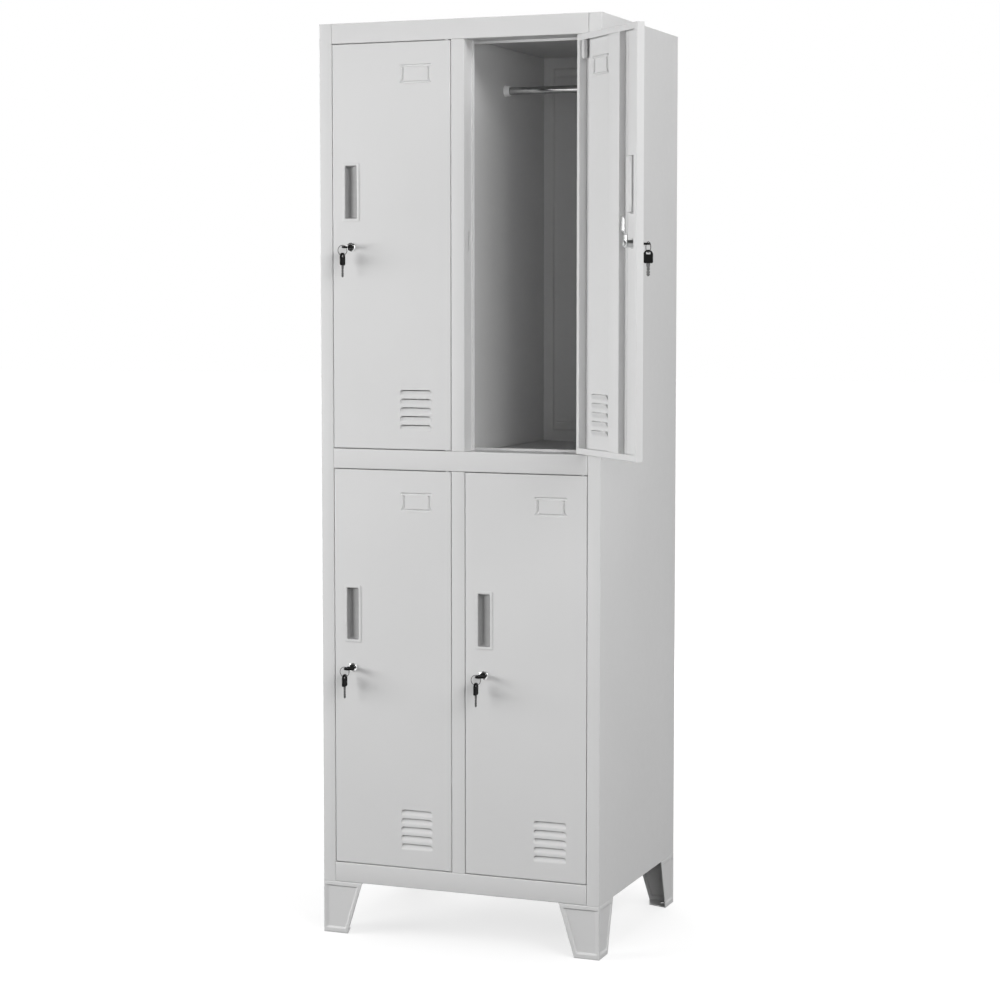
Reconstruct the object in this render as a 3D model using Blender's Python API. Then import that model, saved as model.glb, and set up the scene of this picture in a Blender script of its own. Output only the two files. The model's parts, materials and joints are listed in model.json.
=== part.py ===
"""Steel locker cabinet: two columns of two lockers on four sheet-metal legs.

The cabinet frame has x across the width (0 at the middle), y into the depth
(0 at the front face) and z up (0 at the floor). An empty carries all of it,
so that the origin of the world is at the middle of the base of the whole
object as it stands, with the upper right door open.
"""

import math

import bmesh
import bpy
from mathutils import Matrix, Vector

# Overall sizes, in metres
HEIGHT = 1.850
WIDTH = 0.600
DEPTH = 0.490
LEG_HEIGHT = 0.108

# Front frame around the four door openings
RAIL = 0.040
STILE = 0.0272
MULLION = 0.028
FRAME_RETURN = 0.040
FRAME_LIP = 0.006
RAIL_LEDGE = 0.060
RAIL_LIP = 0.005
RAIL_LIP_THICK = 0.002
FLOOR_DROP = 0.0055
BACK_FLANGE = 0.015

# Sheet and fits
SHEET = 0.001
GAP = 0.0003
DOOR_GAP = 0.0015

# Doors: trays that turn on short pins near their right edge
DOOR_THICK = 0.016
DOOR_LIP = 0.0123
DOOR_SLIT = 0.002
PIVOT_IN = 0.0085
PIVOT_DEEP = 0.004
OPEN_ANGLE = math.radians(135)
OPEN_DOOR = "upper_right"
PIN_RADIUS = 0.0022
PIN_HOLE = 0.0025
PIN_COLLAR = 0.0038
PIN_REACH = 0.010

# Door stiffener: a hat channel
HAT_CENTRE = 0.0988
HAT_FACE = 0.043
HAT_DEEP = 0.0135
HAT_FOOT = 0.010

# Pressed air slits
VENT_COUNT = 5
VENT_PITCH = 0.0174
VENT_FIRST = 0.0495
VENT_LENGTH = 0.066
VENT_FROM_HINGE = 0.041
VENT_TALL = 0.012
VENT_DEEP = 0.0045
VENT_SLIT = 0.0012

# Finger recess
HANDLE_IN = 0.040
HANDLE_ABOVE = 0.110
HANDLE_WIDE = 0.026
HANDLE_TALL = 0.106
HANDLE_RIM = 0.0055
HANDLE_WALL = 0.0012
HANDLE_DEEP = 0.011
HANDLE_PROUD = 0.0008

# Cam lock
LOCK_IN = 0.040
LOCK_BODY = 0.0070
LOCK_BEZEL = 0.0093
LOCK_PROUD = 0.0025
LOCK_LONG = 0.0175
PLUG_RADIUS = 0.0050
CAM_REACH = 0.050
CAM_HALF = 0.007
CAM_THICK = 0.002
CAM_CRANK = 0.005

# Keys and their ring
KEY_BOW = 0.0095
KEY_BOW_LONG = 0.025
KEY_LONG = 0.049
KEY_BLADE = 0.0035
KEY_THICK = 0.004
BLADE_THICK = 0.002
KEY_OUT = 0.032
KEY_SLOT_AT = 0.0062
KEY_SLOT_HALF = 0.0055
KEY_SLOT_RADIUS = 0.0022
RING_RADIUS = 0.010
RING_WIRE = 0.0008

# Clothes rods
ROD_RADIUS = 0.0075
ROD_BORE = 0.0079
ROD_WALL = 0.001
ROD_BELOW_RAIL = 0.082
ROD_BACK = 0.257
SOCKET_RADIUS = 0.012
SOCKET_THICK = 0.011
SOCKET_BASE = 0.001
SOCKET_STUB = 0.005

# Legs
LEG_SHEET = 0.0015
LEG_TOP = 0.086
LEG_BOTTOM = 0.053
LEG_PLATE_CORNER = 0.040
LEG_HOLE_IN = 0.019
LEG_HOLE = 0.005

# Pressed fields of the back
FIELD_MARGIN = 0.0215
FIELD_SLOPE = 0.005
FIELD_DEEP = 0.003

# Sizes that follow
HALF = WIDTH / 2
INNER_HALF = HALF - SHEET - GAP
BODY_LOW = LEG_HEIGHT
OPEN_HEIGHT = (HEIGHT - BODY_LOW - 3 * RAIL) / 2
TIERS = {
    "upper": HEIGHT - RAIL - OPEN_HEIGHT,
    "lower": BODY_LOW + RAIL,
}
OPEN_WIDTH = HALF - STILE - MULLION / 2
COLUMNS = {"left": -HALF + STILE, "right": MULLION / 2}
DOOR_WIDTH = OPEN_WIDTH - 2 * DOOR_GAP
DOOR_HEIGHT = OPEN_HEIGHT - 2 * DOOR_GAP
DOORS = [f"{tier}_{side}" for tier in TIERS for side in COLUMNS]
BACK_FRONT = DEPTH - 2 * SHEET - GAP
SHELF_BACK = BACK_FRONT - GAP
LOCK_Z = DOOR_HEIGHT / 2
RIM_HALF = (math.sqrt(KEY_BOW**2 - (KEY_BOW - KEY_SLOT_AT) ** 2) - KEY_SLOT_HALF) / 2
RING_DROP = RING_RADIUS - RING_WIRE - math.hypot(KEY_THICK / 2, RIM_HALF) - GAP


def clear_scene():
    """Leave an empty scene."""
    for thing in list(bpy.data.objects):
        bpy.data.objects.remove(thing, do_unlink=True)


def material(name, colour, roughness, metallic=0.0):
    """A plain finish."""
    finish = bpy.data.materials.new(name)
    finish.use_nodes = True
    shader = finish.node_tree.nodes["Principled BSDF"]
    shader.inputs["Base Color"].default_value = (*colour, 1.0)
    shader.inputs["Roughness"].default_value = roughness
    shader.inputs["Metallic"].default_value = metallic
    return finish


# ---------------------------------------------------------------- solids


def solid(points, faces):
    """A closed mesh with its faces pointing out."""
    shape = bmesh.new()
    corners = [shape.verts.new(p) for p in points]
    for face in faces:
        shape.faces.new([corners[i] for i in face])
    bmesh.ops.recalc_face_normals(shape, faces=shape.faces)
    mesh = bpy.data.meshes.new("solid")
    shape.to_mesh(mesh)
    shape.free()
    return mesh


def loft(loops):
    """A solid through loops of as many points each, capped at both ends."""
    count = len(loops[0])
    points = [p for loop in loops for p in loop]
    faces = [tuple(range(count)), tuple(range(len(points) - count, len(points)))]
    for start in range(0, len(points) - count, count):
        for i in range(count):
            j = (i + 1) % count
            faces.append((start + i, start + j, start + count + j, start + count + i))
    return solid(points, faces)


def along(axis, u, v, position):
    """The point (u, v) of a section that stands across an axis."""
    return {"X": (position, u, v), "Y": (u, position, v), "Z": (u, v, position)}[axis]


def prism(outline, axis, low, high):
    """An outline stretched along an axis."""
    return loft([[along(axis, u, v, at) for u, v in outline] for at in (low, high)])


def block(low, high):
    """A box between two corners."""
    outline = [
        (low[0], low[1]),
        (high[0], low[1]),
        (high[0], high[1]),
        (low[0], high[1]),
    ]
    return prism(outline, "Z", low[2], high[2])


def turned(profile, axis, segments):
    """A turned solid. A profile of (radius, position) that starts on the axis ends
    on it too, and any other one closes on itself."""
    points = []
    rings = []
    for radius, position in profile:
        count = segments if radius > 0 else 1
        rings.append(list(range(len(points), len(points) + count)))
        for i in range(count):
            turn = 2 * math.pi * i / segments
            u, v = radius * math.cos(turn), radius * math.sin(turn)
            points.append(along(axis, u, v, position))
    pairs = list(zip(rings, rings[1:]))
    if profile[0][0] > 0:
        pairs.append((rings[-1], rings[0]))
    faces = []
    for a, b in pairs:
        for i in range(segments):
            j = (i + 1) % segments
            corners = [a[i % len(a)], a[j % len(a)], b[j % len(b)], b[i % len(b)]]
            faces.append(tuple(dict.fromkeys(corners)))
    return solid(points, faces)


def rod(radius, axis, low, high, centre=(0.0, 0.0), segments=16):
    """A round bar along an axis, centred on (u, v)."""
    outline = []
    for i in range(segments):
        turn = 2 * math.pi * i / segments
        u = centre[0] + radius * math.cos(turn)
        v = centre[1] + radius * math.sin(turn)
        outline.append((u, v))
    return prism(outline, axis, low, high)


def rounded(width, height, radius, centre=(0.0, 0.0), steps=3):
    """The outline of a rectangle with round corners."""
    outline = []
    for quarter in range(4):
        turn = math.pi / 2 * quarter
        side = math.cos(turn + math.pi / 4), math.sin(turn + math.pi / 4)
        u = centre[0] + math.copysign(width / 2 - radius, side[0])
        v = centre[1] + math.copysign(height / 2 - radius, side[1])
        for step in range(steps + 1):
            a = turn + math.pi / 2 * step / steps
            outline.append((u + radius * math.cos(a), v + radius * math.sin(a)))
    return outline


def combine(base, tools, operation):
    """The mesh of a base after each tool has cut, joined or trimmed it."""
    target = bpy.data.objects.new("target", base)
    helpers = [bpy.data.objects.new("tool", tool) for tool in tools]
    for thing in [target, *helpers]:
        bpy.context.scene.collection.objects.link(thing)
    for helper in helpers:
        step = target.modifiers.new(operation.lower(), "BOOLEAN")
        step.operation = operation
        step.solver = "EXACT"
        step.object = helper
    graph = bpy.context.evaluated_depsgraph_get()
    mesh = bpy.data.meshes.new_from_object(target.evaluated_get(graph))
    for thing in [target, *helpers]:
        bpy.data.objects.remove(thing, do_unlink=True)
    return mesh


def cut(base, *tools):
    return combine(base, tools, "DIFFERENCE")


def join(base, *tools):
    return combine(base, tools, "UNION")


def smooth(mesh, sharp=35):
    """Shade a round piece smooth, but for its edges."""
    mesh.shade_smooth()
    mesh.set_sharp_from_angle(angle=math.radians(sharp))
    return mesh


def place(name, mesh, finish, parent, location=(0, 0, 0), turn=(0, 0, 0)):
    """Put a piece in the scene as a named object."""
    if not mesh.materials:
        mesh.materials.append(finish)
    piece = bpy.data.objects.new(name, mesh)
    bpy.context.scene.collection.objects.link(piece)
    piece.parent = parent
    piece.location = location
    piece.rotation_euler = turn
    return piece


def holder(name, parent, location=(0, 0, 0), turn=(0, 0, 0)):
    """An empty that carries the pieces of one body."""
    empty = bpy.data.objects.new(name, None)
    bpy.context.scene.collection.objects.link(empty)
    empty.parent = parent
    empty.location = location
    empty.rotation_euler = turn
    return empty


# ---------------------------------------------------------------- carcass


def pivot_x(side):
    """Where the hinge axis of a column of doors stands."""
    return COLUMNS[side] + OPEN_WIDTH - DOOR_GAP - PIVOT_IN


def pin_holes(low, high):
    """Cutters for the hinge pins through a rail."""
    return [
        rod(PIN_HOLE, "Z", low, high, (pivot_x(side), PIVOT_DEEP))
        for side in COLUMNS
    ]


def lip_outline(ledge, way):
    """The turned lip behind a ledge and the step to the sheet beyond it, from the
    front. The way is 1 for a ledge that faces up, and -1 for one that faces down."""
    back = RAIL_LEDGE + RAIL_LIP_THICK
    return [
        (0.0, ledge),
        (RAIL_LEDGE, ledge),
        (RAIL_LEDGE, ledge + way * RAIL_LIP),
        (back, ledge + way * RAIL_LIP),
        (back, ledge - way * FLOOR_DROP),
        (SHELF_BACK, ledge - way * FLOOR_DROP),
    ]


def inner_outline(ledge, way):
    """The hidden side of the same sheet, from the back."""
    inner = RAIL_LEDGE + SHEET
    return [
        (SHELF_BACK, ledge - way * (FLOOR_DROP + SHEET)),
        (inner, ledge - way * (FLOOR_DROP + SHEET)),
        (inner, ledge - way * SHEET),
        (SHEET, ledge - way * SHEET),
    ]


def corner_cuts(low, high):
    """Cutters that clear the folded stiles at both front corners."""
    edge = HALF - STILE - GAP
    deep = FRAME_RETURN + 5 * GAP
    return [
        block((min(a, b), -SHEET, low), (max(a, b), deep, high))
        for a, b in ((-WIDTH, -edge), (edge, WIDTH))
    ]


def top_panel():
    """The roof, its front rail and the ceiling of the upper lockers."""
    ledge = HEIGHT - RAIL
    outline = lip_outline(ledge, -1)[::-1]
    outline += [
        (0.0, HEIGHT),
        (DEPTH, HEIGHT),
        (DEPTH, HEIGHT - BACK_FLANGE),
        (DEPTH - SHEET, HEIGHT - BACK_FLANGE),
        (DEPTH - SHEET, HEIGHT - SHEET),
        (SHEET, HEIGHT - SHEET),
    ]
    outline += inner_outline(ledge, -1)[::-1]
    panel = prism(outline, "X", -INNER_HALF, INNER_HALF)
    under_roof = HEIGHT - SHEET - GAP / 2
    behind_stile = SHEET + GAP
    edge = HALF - STILE - GAP
    notches = [
        block((min(a, b), -SHEET, ledge - RAIL), (max(a, b), behind_stile, 2 * HEIGHT))
        for a, b in ((-WIDTH, -edge), (edge, WIDTH))
    ]
    holes = pin_holes(ledge - SHEET, ledge + 2 * SHEET)
    flange = [
        block((min(a, b), DEPTH - 1.5 * SHEET, 0), (max(a, b), 2 * DEPTH, 2 * HEIGHT))
        for a, b in ((-WIDTH, -side_flange()), (side_flange(), WIDTH))
    ]
    return cut(panel, *corner_cuts(0, under_roof), *notches, *holes, *flange)


def side_flange():
    """Half the width between the back flanges of the sides."""
    return HALF - BACK_FLANGE - GAP


def middle_shelf():
    """The middle rail with the floor above it and the ceiling below it."""
    high = TIERS["upper"]
    low = high - RAIL
    outline = lip_outline(high, 1)[::-1] + lip_outline(low, -1)
    outline += inner_outline(low, -1) + inner_outline(high, 1)[::-1]
    shelf = prism(outline, "X", -INNER_HALF, INNER_HALF)
    holes = pin_holes(low - SHEET, high + SHEET)
    return cut(shelf, *corner_cuts(low - RAIL, high + RAIL), *holes)


def base_panel():
    """The bottom rail, the floor of the lower lockers and the underside."""
    ledge = TIERS["lower"]
    outline = lip_outline(ledge, 1)[::-1]
    outline += [
        (0.0, BODY_LOW),
        (DEPTH, BODY_LOW),
        (DEPTH, BODY_LOW + BACK_FLANGE),
        (DEPTH - SHEET, BODY_LOW + BACK_FLANGE),
        (DEPTH - SHEET, BODY_LOW + SHEET),
        (SHEET, BODY_LOW + SHEET),
    ]
    outline += inner_outline(ledge, 1)[::-1]
    panel = prism(outline, "X", -INNER_HALF, INNER_HALF)
    over_sheet = BODY_LOW + SHEET + GAP / 2
    behind_stile = SHEET + GAP
    edge = HALF - STILE - GAP
    notches = [
        block((min(a, b), -SHEET, 0), (max(a, b), behind_stile, ledge + RAIL))
        for a, b in ((-WIDTH, -edge), (edge, WIDTH))
    ]
    holes = pin_holes(ledge - 2 * SHEET, ledge + SHEET)
    flange = [
        block((min(a, b), DEPTH - 1.5 * SHEET, 0), (max(a, b), 2 * DEPTH, HEIGHT / 2))
        for a, b in ((-WIDTH, -side_flange()), (side_flange(), WIDTH))
    ]
    return cut(panel, *corner_cuts(over_sheet, HEIGHT / 2), *notches, *holes, *flange)


def keeper_slot(wall, low):
    """A cutter for the slot in a frame return that a turned cam enters."""
    tip = DOOR_THICK + CAM_CRANK + CAM_THICK
    slack = 0.0015
    deep = tip - CAM_THICK / 2
    high = low + DOOR_GAP + LOCK_Z
    rise = math.sqrt(CAM_REACH**2 + CAM_HALF**2 - (LOCK_IN + DOOR_GAP) ** 2)
    return block(
        (wall - 2 * SHEET, deep - slack, high - CAM_HALF - slack),
        (wall + 2 * SHEET, deep + CAM_THICK + slack, high + rise + slack),
    )


def side_panel(side):
    """A side wall folded round into the front stile and the back flange."""
    outline = [
        (BACK_FLANGE, DEPTH),
        (0.0, DEPTH),
        (0.0, 0.0),
        (STILE, 0.0),
        (STILE, FRAME_RETURN - SHEET),
        (STILE + FRAME_LIP, FRAME_RETURN - SHEET),
        (STILE + FRAME_LIP, FRAME_RETURN),
        (STILE - SHEET, FRAME_RETURN),
        (STILE - SHEET, SHEET),
        (SHEET, SHEET),
        (SHEET, DEPTH - SHEET),
        (BACK_FLANGE, DEPTH - SHEET),
    ]
    way = -1 if side == "right" else 1
    outline = [(way * (u - HALF), v) for u, v in outline]
    panel = prism(outline, "Z", BODY_LOW, HEIGHT)
    clear = RAIL_LIP + 4 * GAP
    lip_zones = [
        (0.0, TIERS["lower"] + clear),
        (TIERS["upper"] - RAIL - clear, TIERS["upper"] + clear),
        (HEIGHT - RAIL - clear, 2 * HEIGHT),
    ]
    edge = HALF - STILE
    near, far = sorted((-way * (edge - 2 * FRAME_LIP), -way * edge))
    tools = [
        block((near, SHEET, low), (far, 2 * FRAME_RETURN, high))
        for low, high in lip_zones
    ]
    inner, outer = sorted((-way * (edge - 2 * SHEET), -way * (HALF - SHEET)))
    ends = (
        (0.0, BODY_LOW + SHEET + GAP),
        (HEIGHT - SHEET - GAP, 2 * HEIGHT),
    )
    tools += [
        block((inner, SHEET, low), (outer, 2 * FRAME_RETURN, high)) for low, high in ends
    ]
    if side == "left":
        tools += [keeper_slot(-edge, low) for low in TIERS.values()]
    return cut(panel, *tools)


def partition(tier):
    """The wall between two lockers of a tier, with the mullion on its front."""
    low = TIERS[tier] + GAP
    high = TIERS[tier] + OPEN_HEIGHT - GAP
    side = MULLION / 2
    half = SHEET / 2
    right = [
        (side, 0.0),
        (side, FRAME_RETURN - SHEET),
        (side + FRAME_LIP, FRAME_RETURN - SHEET),
        (side + FRAME_LIP, FRAME_RETURN),
        (side - SHEET, FRAME_RETURN),
        (side - SHEET, SHEET),
        (half, SHEET),
        (half, SHELF_BACK),
    ]
    outline = right + [(-u, v) for u, v in right[::-1]]
    post = prism(outline, "Z", low, high)
    behind = RAIL_LEDGE + RAIL_LIP_THICK + GAP
    web = block(
        (-half, behind, low - FLOOR_DROP),
        (half, SHELF_BACK, high + FLOOR_DROP),
    )
    wide = side + 2 * FRAME_LIP
    lip = RAIL_LIP + 2 * GAP
    tools = [
        block((-wide, RAIL_LEDGE - GAP, low - lip), (wide, behind, low + lip)),
        block((-wide, RAIL_LEDGE - GAP, high - lip), (wide, behind, high + lip)),
        keeper_slot(side, TIERS[tier]),
        rod(SOCKET_STUB + GAP, "X", -MULLION, MULLION, (ROD_BACK, rod_z(tier))),
    ]
    return cut(join(post, web), *tools)


def back_panel():
    """The back sheet with a pressed field behind each locker."""
    across = [FIELD_MARGIN, INNER_HALF - FIELD_MARGIN]
    fields_x = [(-across[1], -across[0]), (across[0], across[1])]
    fields_z = [
        (
            low - FLOOR_DROP + FIELD_MARGIN,
            low + OPEN_HEIGHT + FLOOR_DROP - FIELD_MARGIN,
        )
        for low in sorted(TIERS.values())
    ]

    def lines(low, high, fields):
        inner = [
            e for a, b in fields for e in (a, a + FIELD_SLOPE, b - FIELD_SLOPE, b)
        ]
        return [low, *inner, high]

    def pressed(value, fields):
        slack = FIELD_SLOPE / 2
        return any(a + slack < value < b - slack for a, b in fields)

    bottom = BODY_LOW + SHEET + GAP
    xs = lines(-INNER_HALF, INNER_HALF, fields_x)
    zs = lines(bottom, HEIGHT - SHEET - GAP, fields_z)
    points = []
    for skin in (BACK_FRONT, BACK_FRONT + SHEET):
        for z in zs:
            for x in xs:
                deep = pressed(x, fields_x) and pressed(z, fields_z)
                points.append((x, skin - (FIELD_DEEP if deep else 0.0), z))
    wide, tall = len(xs), len(zs)
    faces = []
    for row in range(tall - 1):
        for column in range(wide - 1):
            near = row * wide + column
            for first in (near, near + wide * tall):
                faces.append((first, first + 1, first + wide + 1, first + wide))
    rim = list(range(wide))
    rim += [row * wide + wide - 1 for row in range(1, tall)]
    rim += [(tall - 1) * wide + column for column in range(wide - 2, -1, -1)]
    rim += [row * wide for row in range(tall - 2, 0, -1)]
    for a, b in zip(rim, rim[1:] + rim[:1]):
        faces.append((a, b, b + wide * tall, a + wide * tall))
    return solid(points, faces)


def leg():
    """A folded leg with its corner at the origin and its leaves along +X and +Y."""
    top = LEG_HEIGHT - GAP
    leaf = [(0.0, 0.0), (LEG_BOTTOM, 0.0), (LEG_TOP, top), (0.0, top)]
    foot = [
        (0.0, 0.0),
        (LEG_BOTTOM, 0.0),
        (LEG_PLATE_CORNER, LEG_PLATE_CORNER),
        (0.0, LEG_BOTTOM),
    ]
    head = [(u * LEG_TOP / LEG_BOTTOM, v * LEG_TOP / LEG_BOTTOM) for u, v in foot]
    hole = (LEG_HOLE_IN, LEG_HOLE_IN)
    body = join(
        prism(leaf, "Y", 0.0, LEG_SHEET),
        prism(leaf, "X", 0.0, LEG_SHEET),
        prism(foot, "Z", 0.0, LEG_SHEET),
        prism(head, "Z", top - LEG_SHEET, top),
    )
    return cut(body, rod(LEG_HOLE, "Z", -LEG_SHEET, 2 * LEG_SHEET, hole))


# ---------------------------------------------------------------- clothes rods


def rod_z(tier):
    """The height of a tier's clothes rods."""
    return TIERS[tier] + OPEN_HEIGHT - ROD_BELOW_RAIL


def clothes_rod():
    """A tube from the middle wall to a side wall, along +X."""
    start = SHEET / 2 + SOCKET_BASE + 2 * GAP
    end = HALF - SHEET - SOCKET_BASE - 2 * GAP
    inner = ROD_RADIUS - ROD_WALL
    profile = [
        (ROD_RADIUS, start),
        (ROD_RADIUS, end),
        (inner, end),
        (inner, start),
    ]
    return smooth(turned(profile, "X", 20))


def side_socket():
    """The cup that holds a rod on a side wall, with its back at 0 and its mouth
    towards +X."""
    edge = 0.0008
    profile = [
        (0.0, 0.0),
        (SOCKET_RADIUS, 0.0),
        (SOCKET_RADIUS, SOCKET_THICK - edge),
        (SOCKET_RADIUS - edge, SOCKET_THICK),
        (ROD_BORE, SOCKET_THICK),
        (ROD_BORE, SOCKET_BASE),
        (0.0, SOCKET_BASE),
    ]
    return smooth(turned(profile, "X", 20))


def middle_socket():
    """Two cups back to back, joined through the hole in the middle wall."""
    edge = 0.0008
    face = SHEET / 2 + GAP
    half = [
        (0.0, face + SOCKET_BASE),
        (ROD_BORE, face + SOCKET_BASE),
        (ROD_BORE, face + SOCKET_THICK),
        (SOCKET_RADIUS - edge, face + SOCKET_THICK),
        (SOCKET_RADIUS, face + SOCKET_THICK - edge),
        (SOCKET_RADIUS, face),
        (SOCKET_STUB, face),
    ]
    profile = half + [(radius, -position) for radius, position in half[::-1]]
    return smooth(turned(profile, "X", 20))


# ---------------------------------------------------------------- doors


def door_x(from_hinge):
    """A place across a door, from its hinge edge, in the frame of its pivot."""
    return PIVOT_IN - from_hinge


def door_y(deep):
    """A depth behind the door's face, in the frame of its pivot."""
    return deep - PIVOT_DEEP


def vent_tools():
    """The pressed hoods of the air slits, and the air in front of them."""
    left = door_x(VENT_FROM_HINGE + VENT_LENGTH)
    right = door_x(VENT_FROM_HINGE)
    hoods = []
    spaces = []
    for number in range(VENT_COUNT):
        top = VENT_FIRST + number * VENT_PITCH
        low = top - VENT_TALL
        hood = [
            (SHEET / 2, low - SHEET),
            (SHEET / 2, top),
            (VENT_DEEP + SHEET, top),
            (1.1 * SHEET, low - SHEET),
        ]
        space = [
            (-SHEET, low),
            (0.0, low),
            (VENT_DEEP, top),
            (VENT_DEEP, top + VENT_SLIT),
            (-SHEET, top + VENT_SLIT),
        ]
        hood = [(door_y(u), v) for u, v in hood]
        space = [(door_y(u), v) for u, v in space]
        hoods.append(prism(hood, "X", left - SHEET, right + SHEET))
        spaces.append(prism(space, "X", left, right))
    return hoods, spaces


def door_panel():
    """The door: a tray with turned-in lips, and folded channels along both sides."""
    back = DOOR_THICK - SHEET
    wall = DOOR_LIP - SHEET
    half = [
        (SHEET, SHEET),
        (SHEET, back),
        (wall, back),
        (wall, SHEET + DOOR_SLIT),
        (DOOR_LIP, SHEET + DOOR_SLIT),
        (DOOR_LIP, back),
    ]
    cavity = half + [(DOOR_WIDTH - u, v) for u, v in half[::-1]]
    cavity = [(door_x(u), door_y(v)) for u, v in cavity]
    left, right = door_x(DOOR_WIDTH), door_x(0.0)
    tray = block((left, door_y(0.0), 0.0), (right, door_y(DOOR_THICK), DOOR_HEIGHT))
    mouth = block(
        (left + DOOR_LIP, door_y(back - SHEET), DOOR_LIP),
        (right - DOOR_LIP, door_y(DOOR_THICK + SHEET), DOOR_HEIGHT - DOOR_LIP),
    )
    round_cup = 2 * (HANDLE_WALL + GAP)
    handle = HANDLE_WIDE + round_cup, HANDLE_TALL + round_cup
    handle_at = door_x(DOOR_WIDTH - HANDLE_IN), LOCK_Z + HANDLE_ABOVE
    lock_at = door_x(DOOR_WIDTH - LOCK_IN), LOCK_Z
    front, behind = door_y(-SHEET), door_y(1.5 * SHEET)
    tools = [
        prism(cavity, "Z", SHEET, DOOR_HEIGHT - SHEET),
        mouth,
        prism(rounded(*handle, 0.003, handle_at), "Y", front, behind),
        rod(LOCK_BODY + 1.5 * GAP, "Y", front, behind, lock_at, 20),
        rod(PIN_HOLE, "Z", -SHEET, 2 * SHEET),
        rod(PIN_HOLE, "Z", DOOR_HEIGHT - 2 * SHEET, DOOR_HEIGHT + SHEET),
    ]
    hoods, spaces = vent_tools()
    return cut(join(cut(tray, *tools), *hoods), *spaces)


def stiffener():
    """The hat channel down the inside of a door."""
    inner = SHEET + GAP
    wall = 0.0018
    outline = [
        (-HAT_FACE / 2 - wall - HAT_FOOT, inner),
        (-HAT_FACE / 2 - wall + SHEET, inner),
        (-HAT_FACE / 2 + SHEET, HAT_DEEP - SHEET),
    ]
    outline += [(-u, v) for u, v in outline[::-1]]
    outer = [
        (-HAT_FACE / 2 - wall - HAT_FOOT, inner + SHEET),
        (-HAT_FACE / 2 - wall, inner + SHEET),
        (-HAT_FACE / 2, HAT_DEEP),
    ]
    outer += [(-u, v) for u, v in outer[::-1]]
    centre = door_x(DOOR_WIDTH - HAT_CENTRE)
    section = [(centre + u, door_y(v)) for u, v in outline + outer[::-1]]
    ends = SHEET + GAP
    return prism(section, "Z", ends, DOOR_HEIGHT - ends)


def handle_cup():
    """The finger recess: a rim on the door's face round a cup that passes through."""
    wide, tall = HANDLE_WIDE, HANDLE_TALL
    rim, wall = 2 * HANDLE_RIM, 2 * HANDLE_WALL
    face = -GAP - HANDLE_PROUD
    inside = [
        (0.0, 0.45 * HANDLE_DEEP),
        (0.003, 0.82 * HANDLE_DEEP),
        (0.011, HANDLE_DEEP),
    ]
    rows = [
        (wide + wall - inset, tall + wall - inset, 0.003, deep + HANDLE_WALL)
        for inset, deep in inside[::-1]
    ]
    rows += [
        (wide + wall, tall + wall, 0.003, -GAP),
        (wide + rim, tall + rim, 0.003, -GAP),
        (wide + rim, tall + rim, 0.003, face),
        (wide, tall, 0.003, face),
    ]
    rows += [(wide - inset, tall - inset, 0.003, deep) for inset, deep in inside]
    centre = door_x(DOOR_WIDTH - HANDLE_IN), LOCK_Z + HANDLE_ABOVE
    loops = [
        [(u, door_y(deep), v) for u, v in rounded(w, h, radius, centre)]
        for w, h, radius, deep in rows
    ]
    return loft(loops)


# The pieces of a lock stand on the lock's axis, with y 0 at the door's face.


def lock_barrel():
    """The lock's housing: bezel, threaded body and the nut behind the door."""
    bore = PLUG_RADIUS + GAP + 0.0001
    edge = 0.0006
    nut, nut_thick = 0.0100, 0.003
    profile = [
        (bore, -GAP - LOCK_PROUD),
        (LOCK_BEZEL - edge, -GAP - LOCK_PROUD),
        (LOCK_BEZEL, -GAP - LOCK_PROUD + edge),
        (LOCK_BEZEL, -GAP),
        (LOCK_BODY, -GAP),
        (LOCK_BODY, SHEET + GAP),
        (nut, SHEET + GAP),
        (nut, SHEET + GAP + nut_thick),
        (LOCK_BODY, SHEET + GAP + nut_thick),
        (LOCK_BODY, LOCK_LONG),
        (bore, LOCK_LONG),
    ]
    return smooth(turned(profile, "Y", 20))


def lock_cam():
    """The turning plug with its keyway, and the cranked cam bolted on its end."""
    start = LOCK_LONG + GAP
    bend = 0.016
    slope = 0.008
    side = [
        (start, -CAM_HALF),
        (start, bend),
        (start + CAM_CRANK, bend + slope),
        (start + CAM_CRANK, CAM_REACH),
        (start + CAM_CRANK + CAM_THICK, CAM_REACH),
        (start + CAM_CRANK + CAM_THICK, bend + slope),
        (start + CAM_THICK, bend),
        (start + CAM_THICK, -CAM_HALF),
    ]
    tall = CAM_REACH + CAM_HALF
    face = rounded(
        2 * CAM_HALF, tall, 0.8 * CAM_HALF, (0.0, CAM_REACH - tall / 2)
    )
    arm = combine(
        prism(side, "X", -2 * CAM_HALF, 2 * CAM_HALF),
        [prism(face, "Y", start - SHEET, start + 2 * CAM_CRANK)],
        "INTERSECT",
    )
    plug = rod(PLUG_RADIUS, "Y", 2 * GAP - LOCK_PROUD, start + 0.0005, segments=20)
    bolt = rod(0.0045, "Y", start + CAM_THICK - 0.0005, start + 0.005, segments=6)
    keyway_end = KEY_LONG - KEY_OUT + 2 * GAP
    keyway = block(
        (-KEY_BLADE - GAP, -2 * LOCK_PROUD, -BLADE_THICK / 2 - GAP),
        (KEY_BLADE + GAP, keyway_end, BLADE_THICK / 2 + GAP),
    )
    return cut(join(arm, plug, bolt), keyway)


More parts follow.
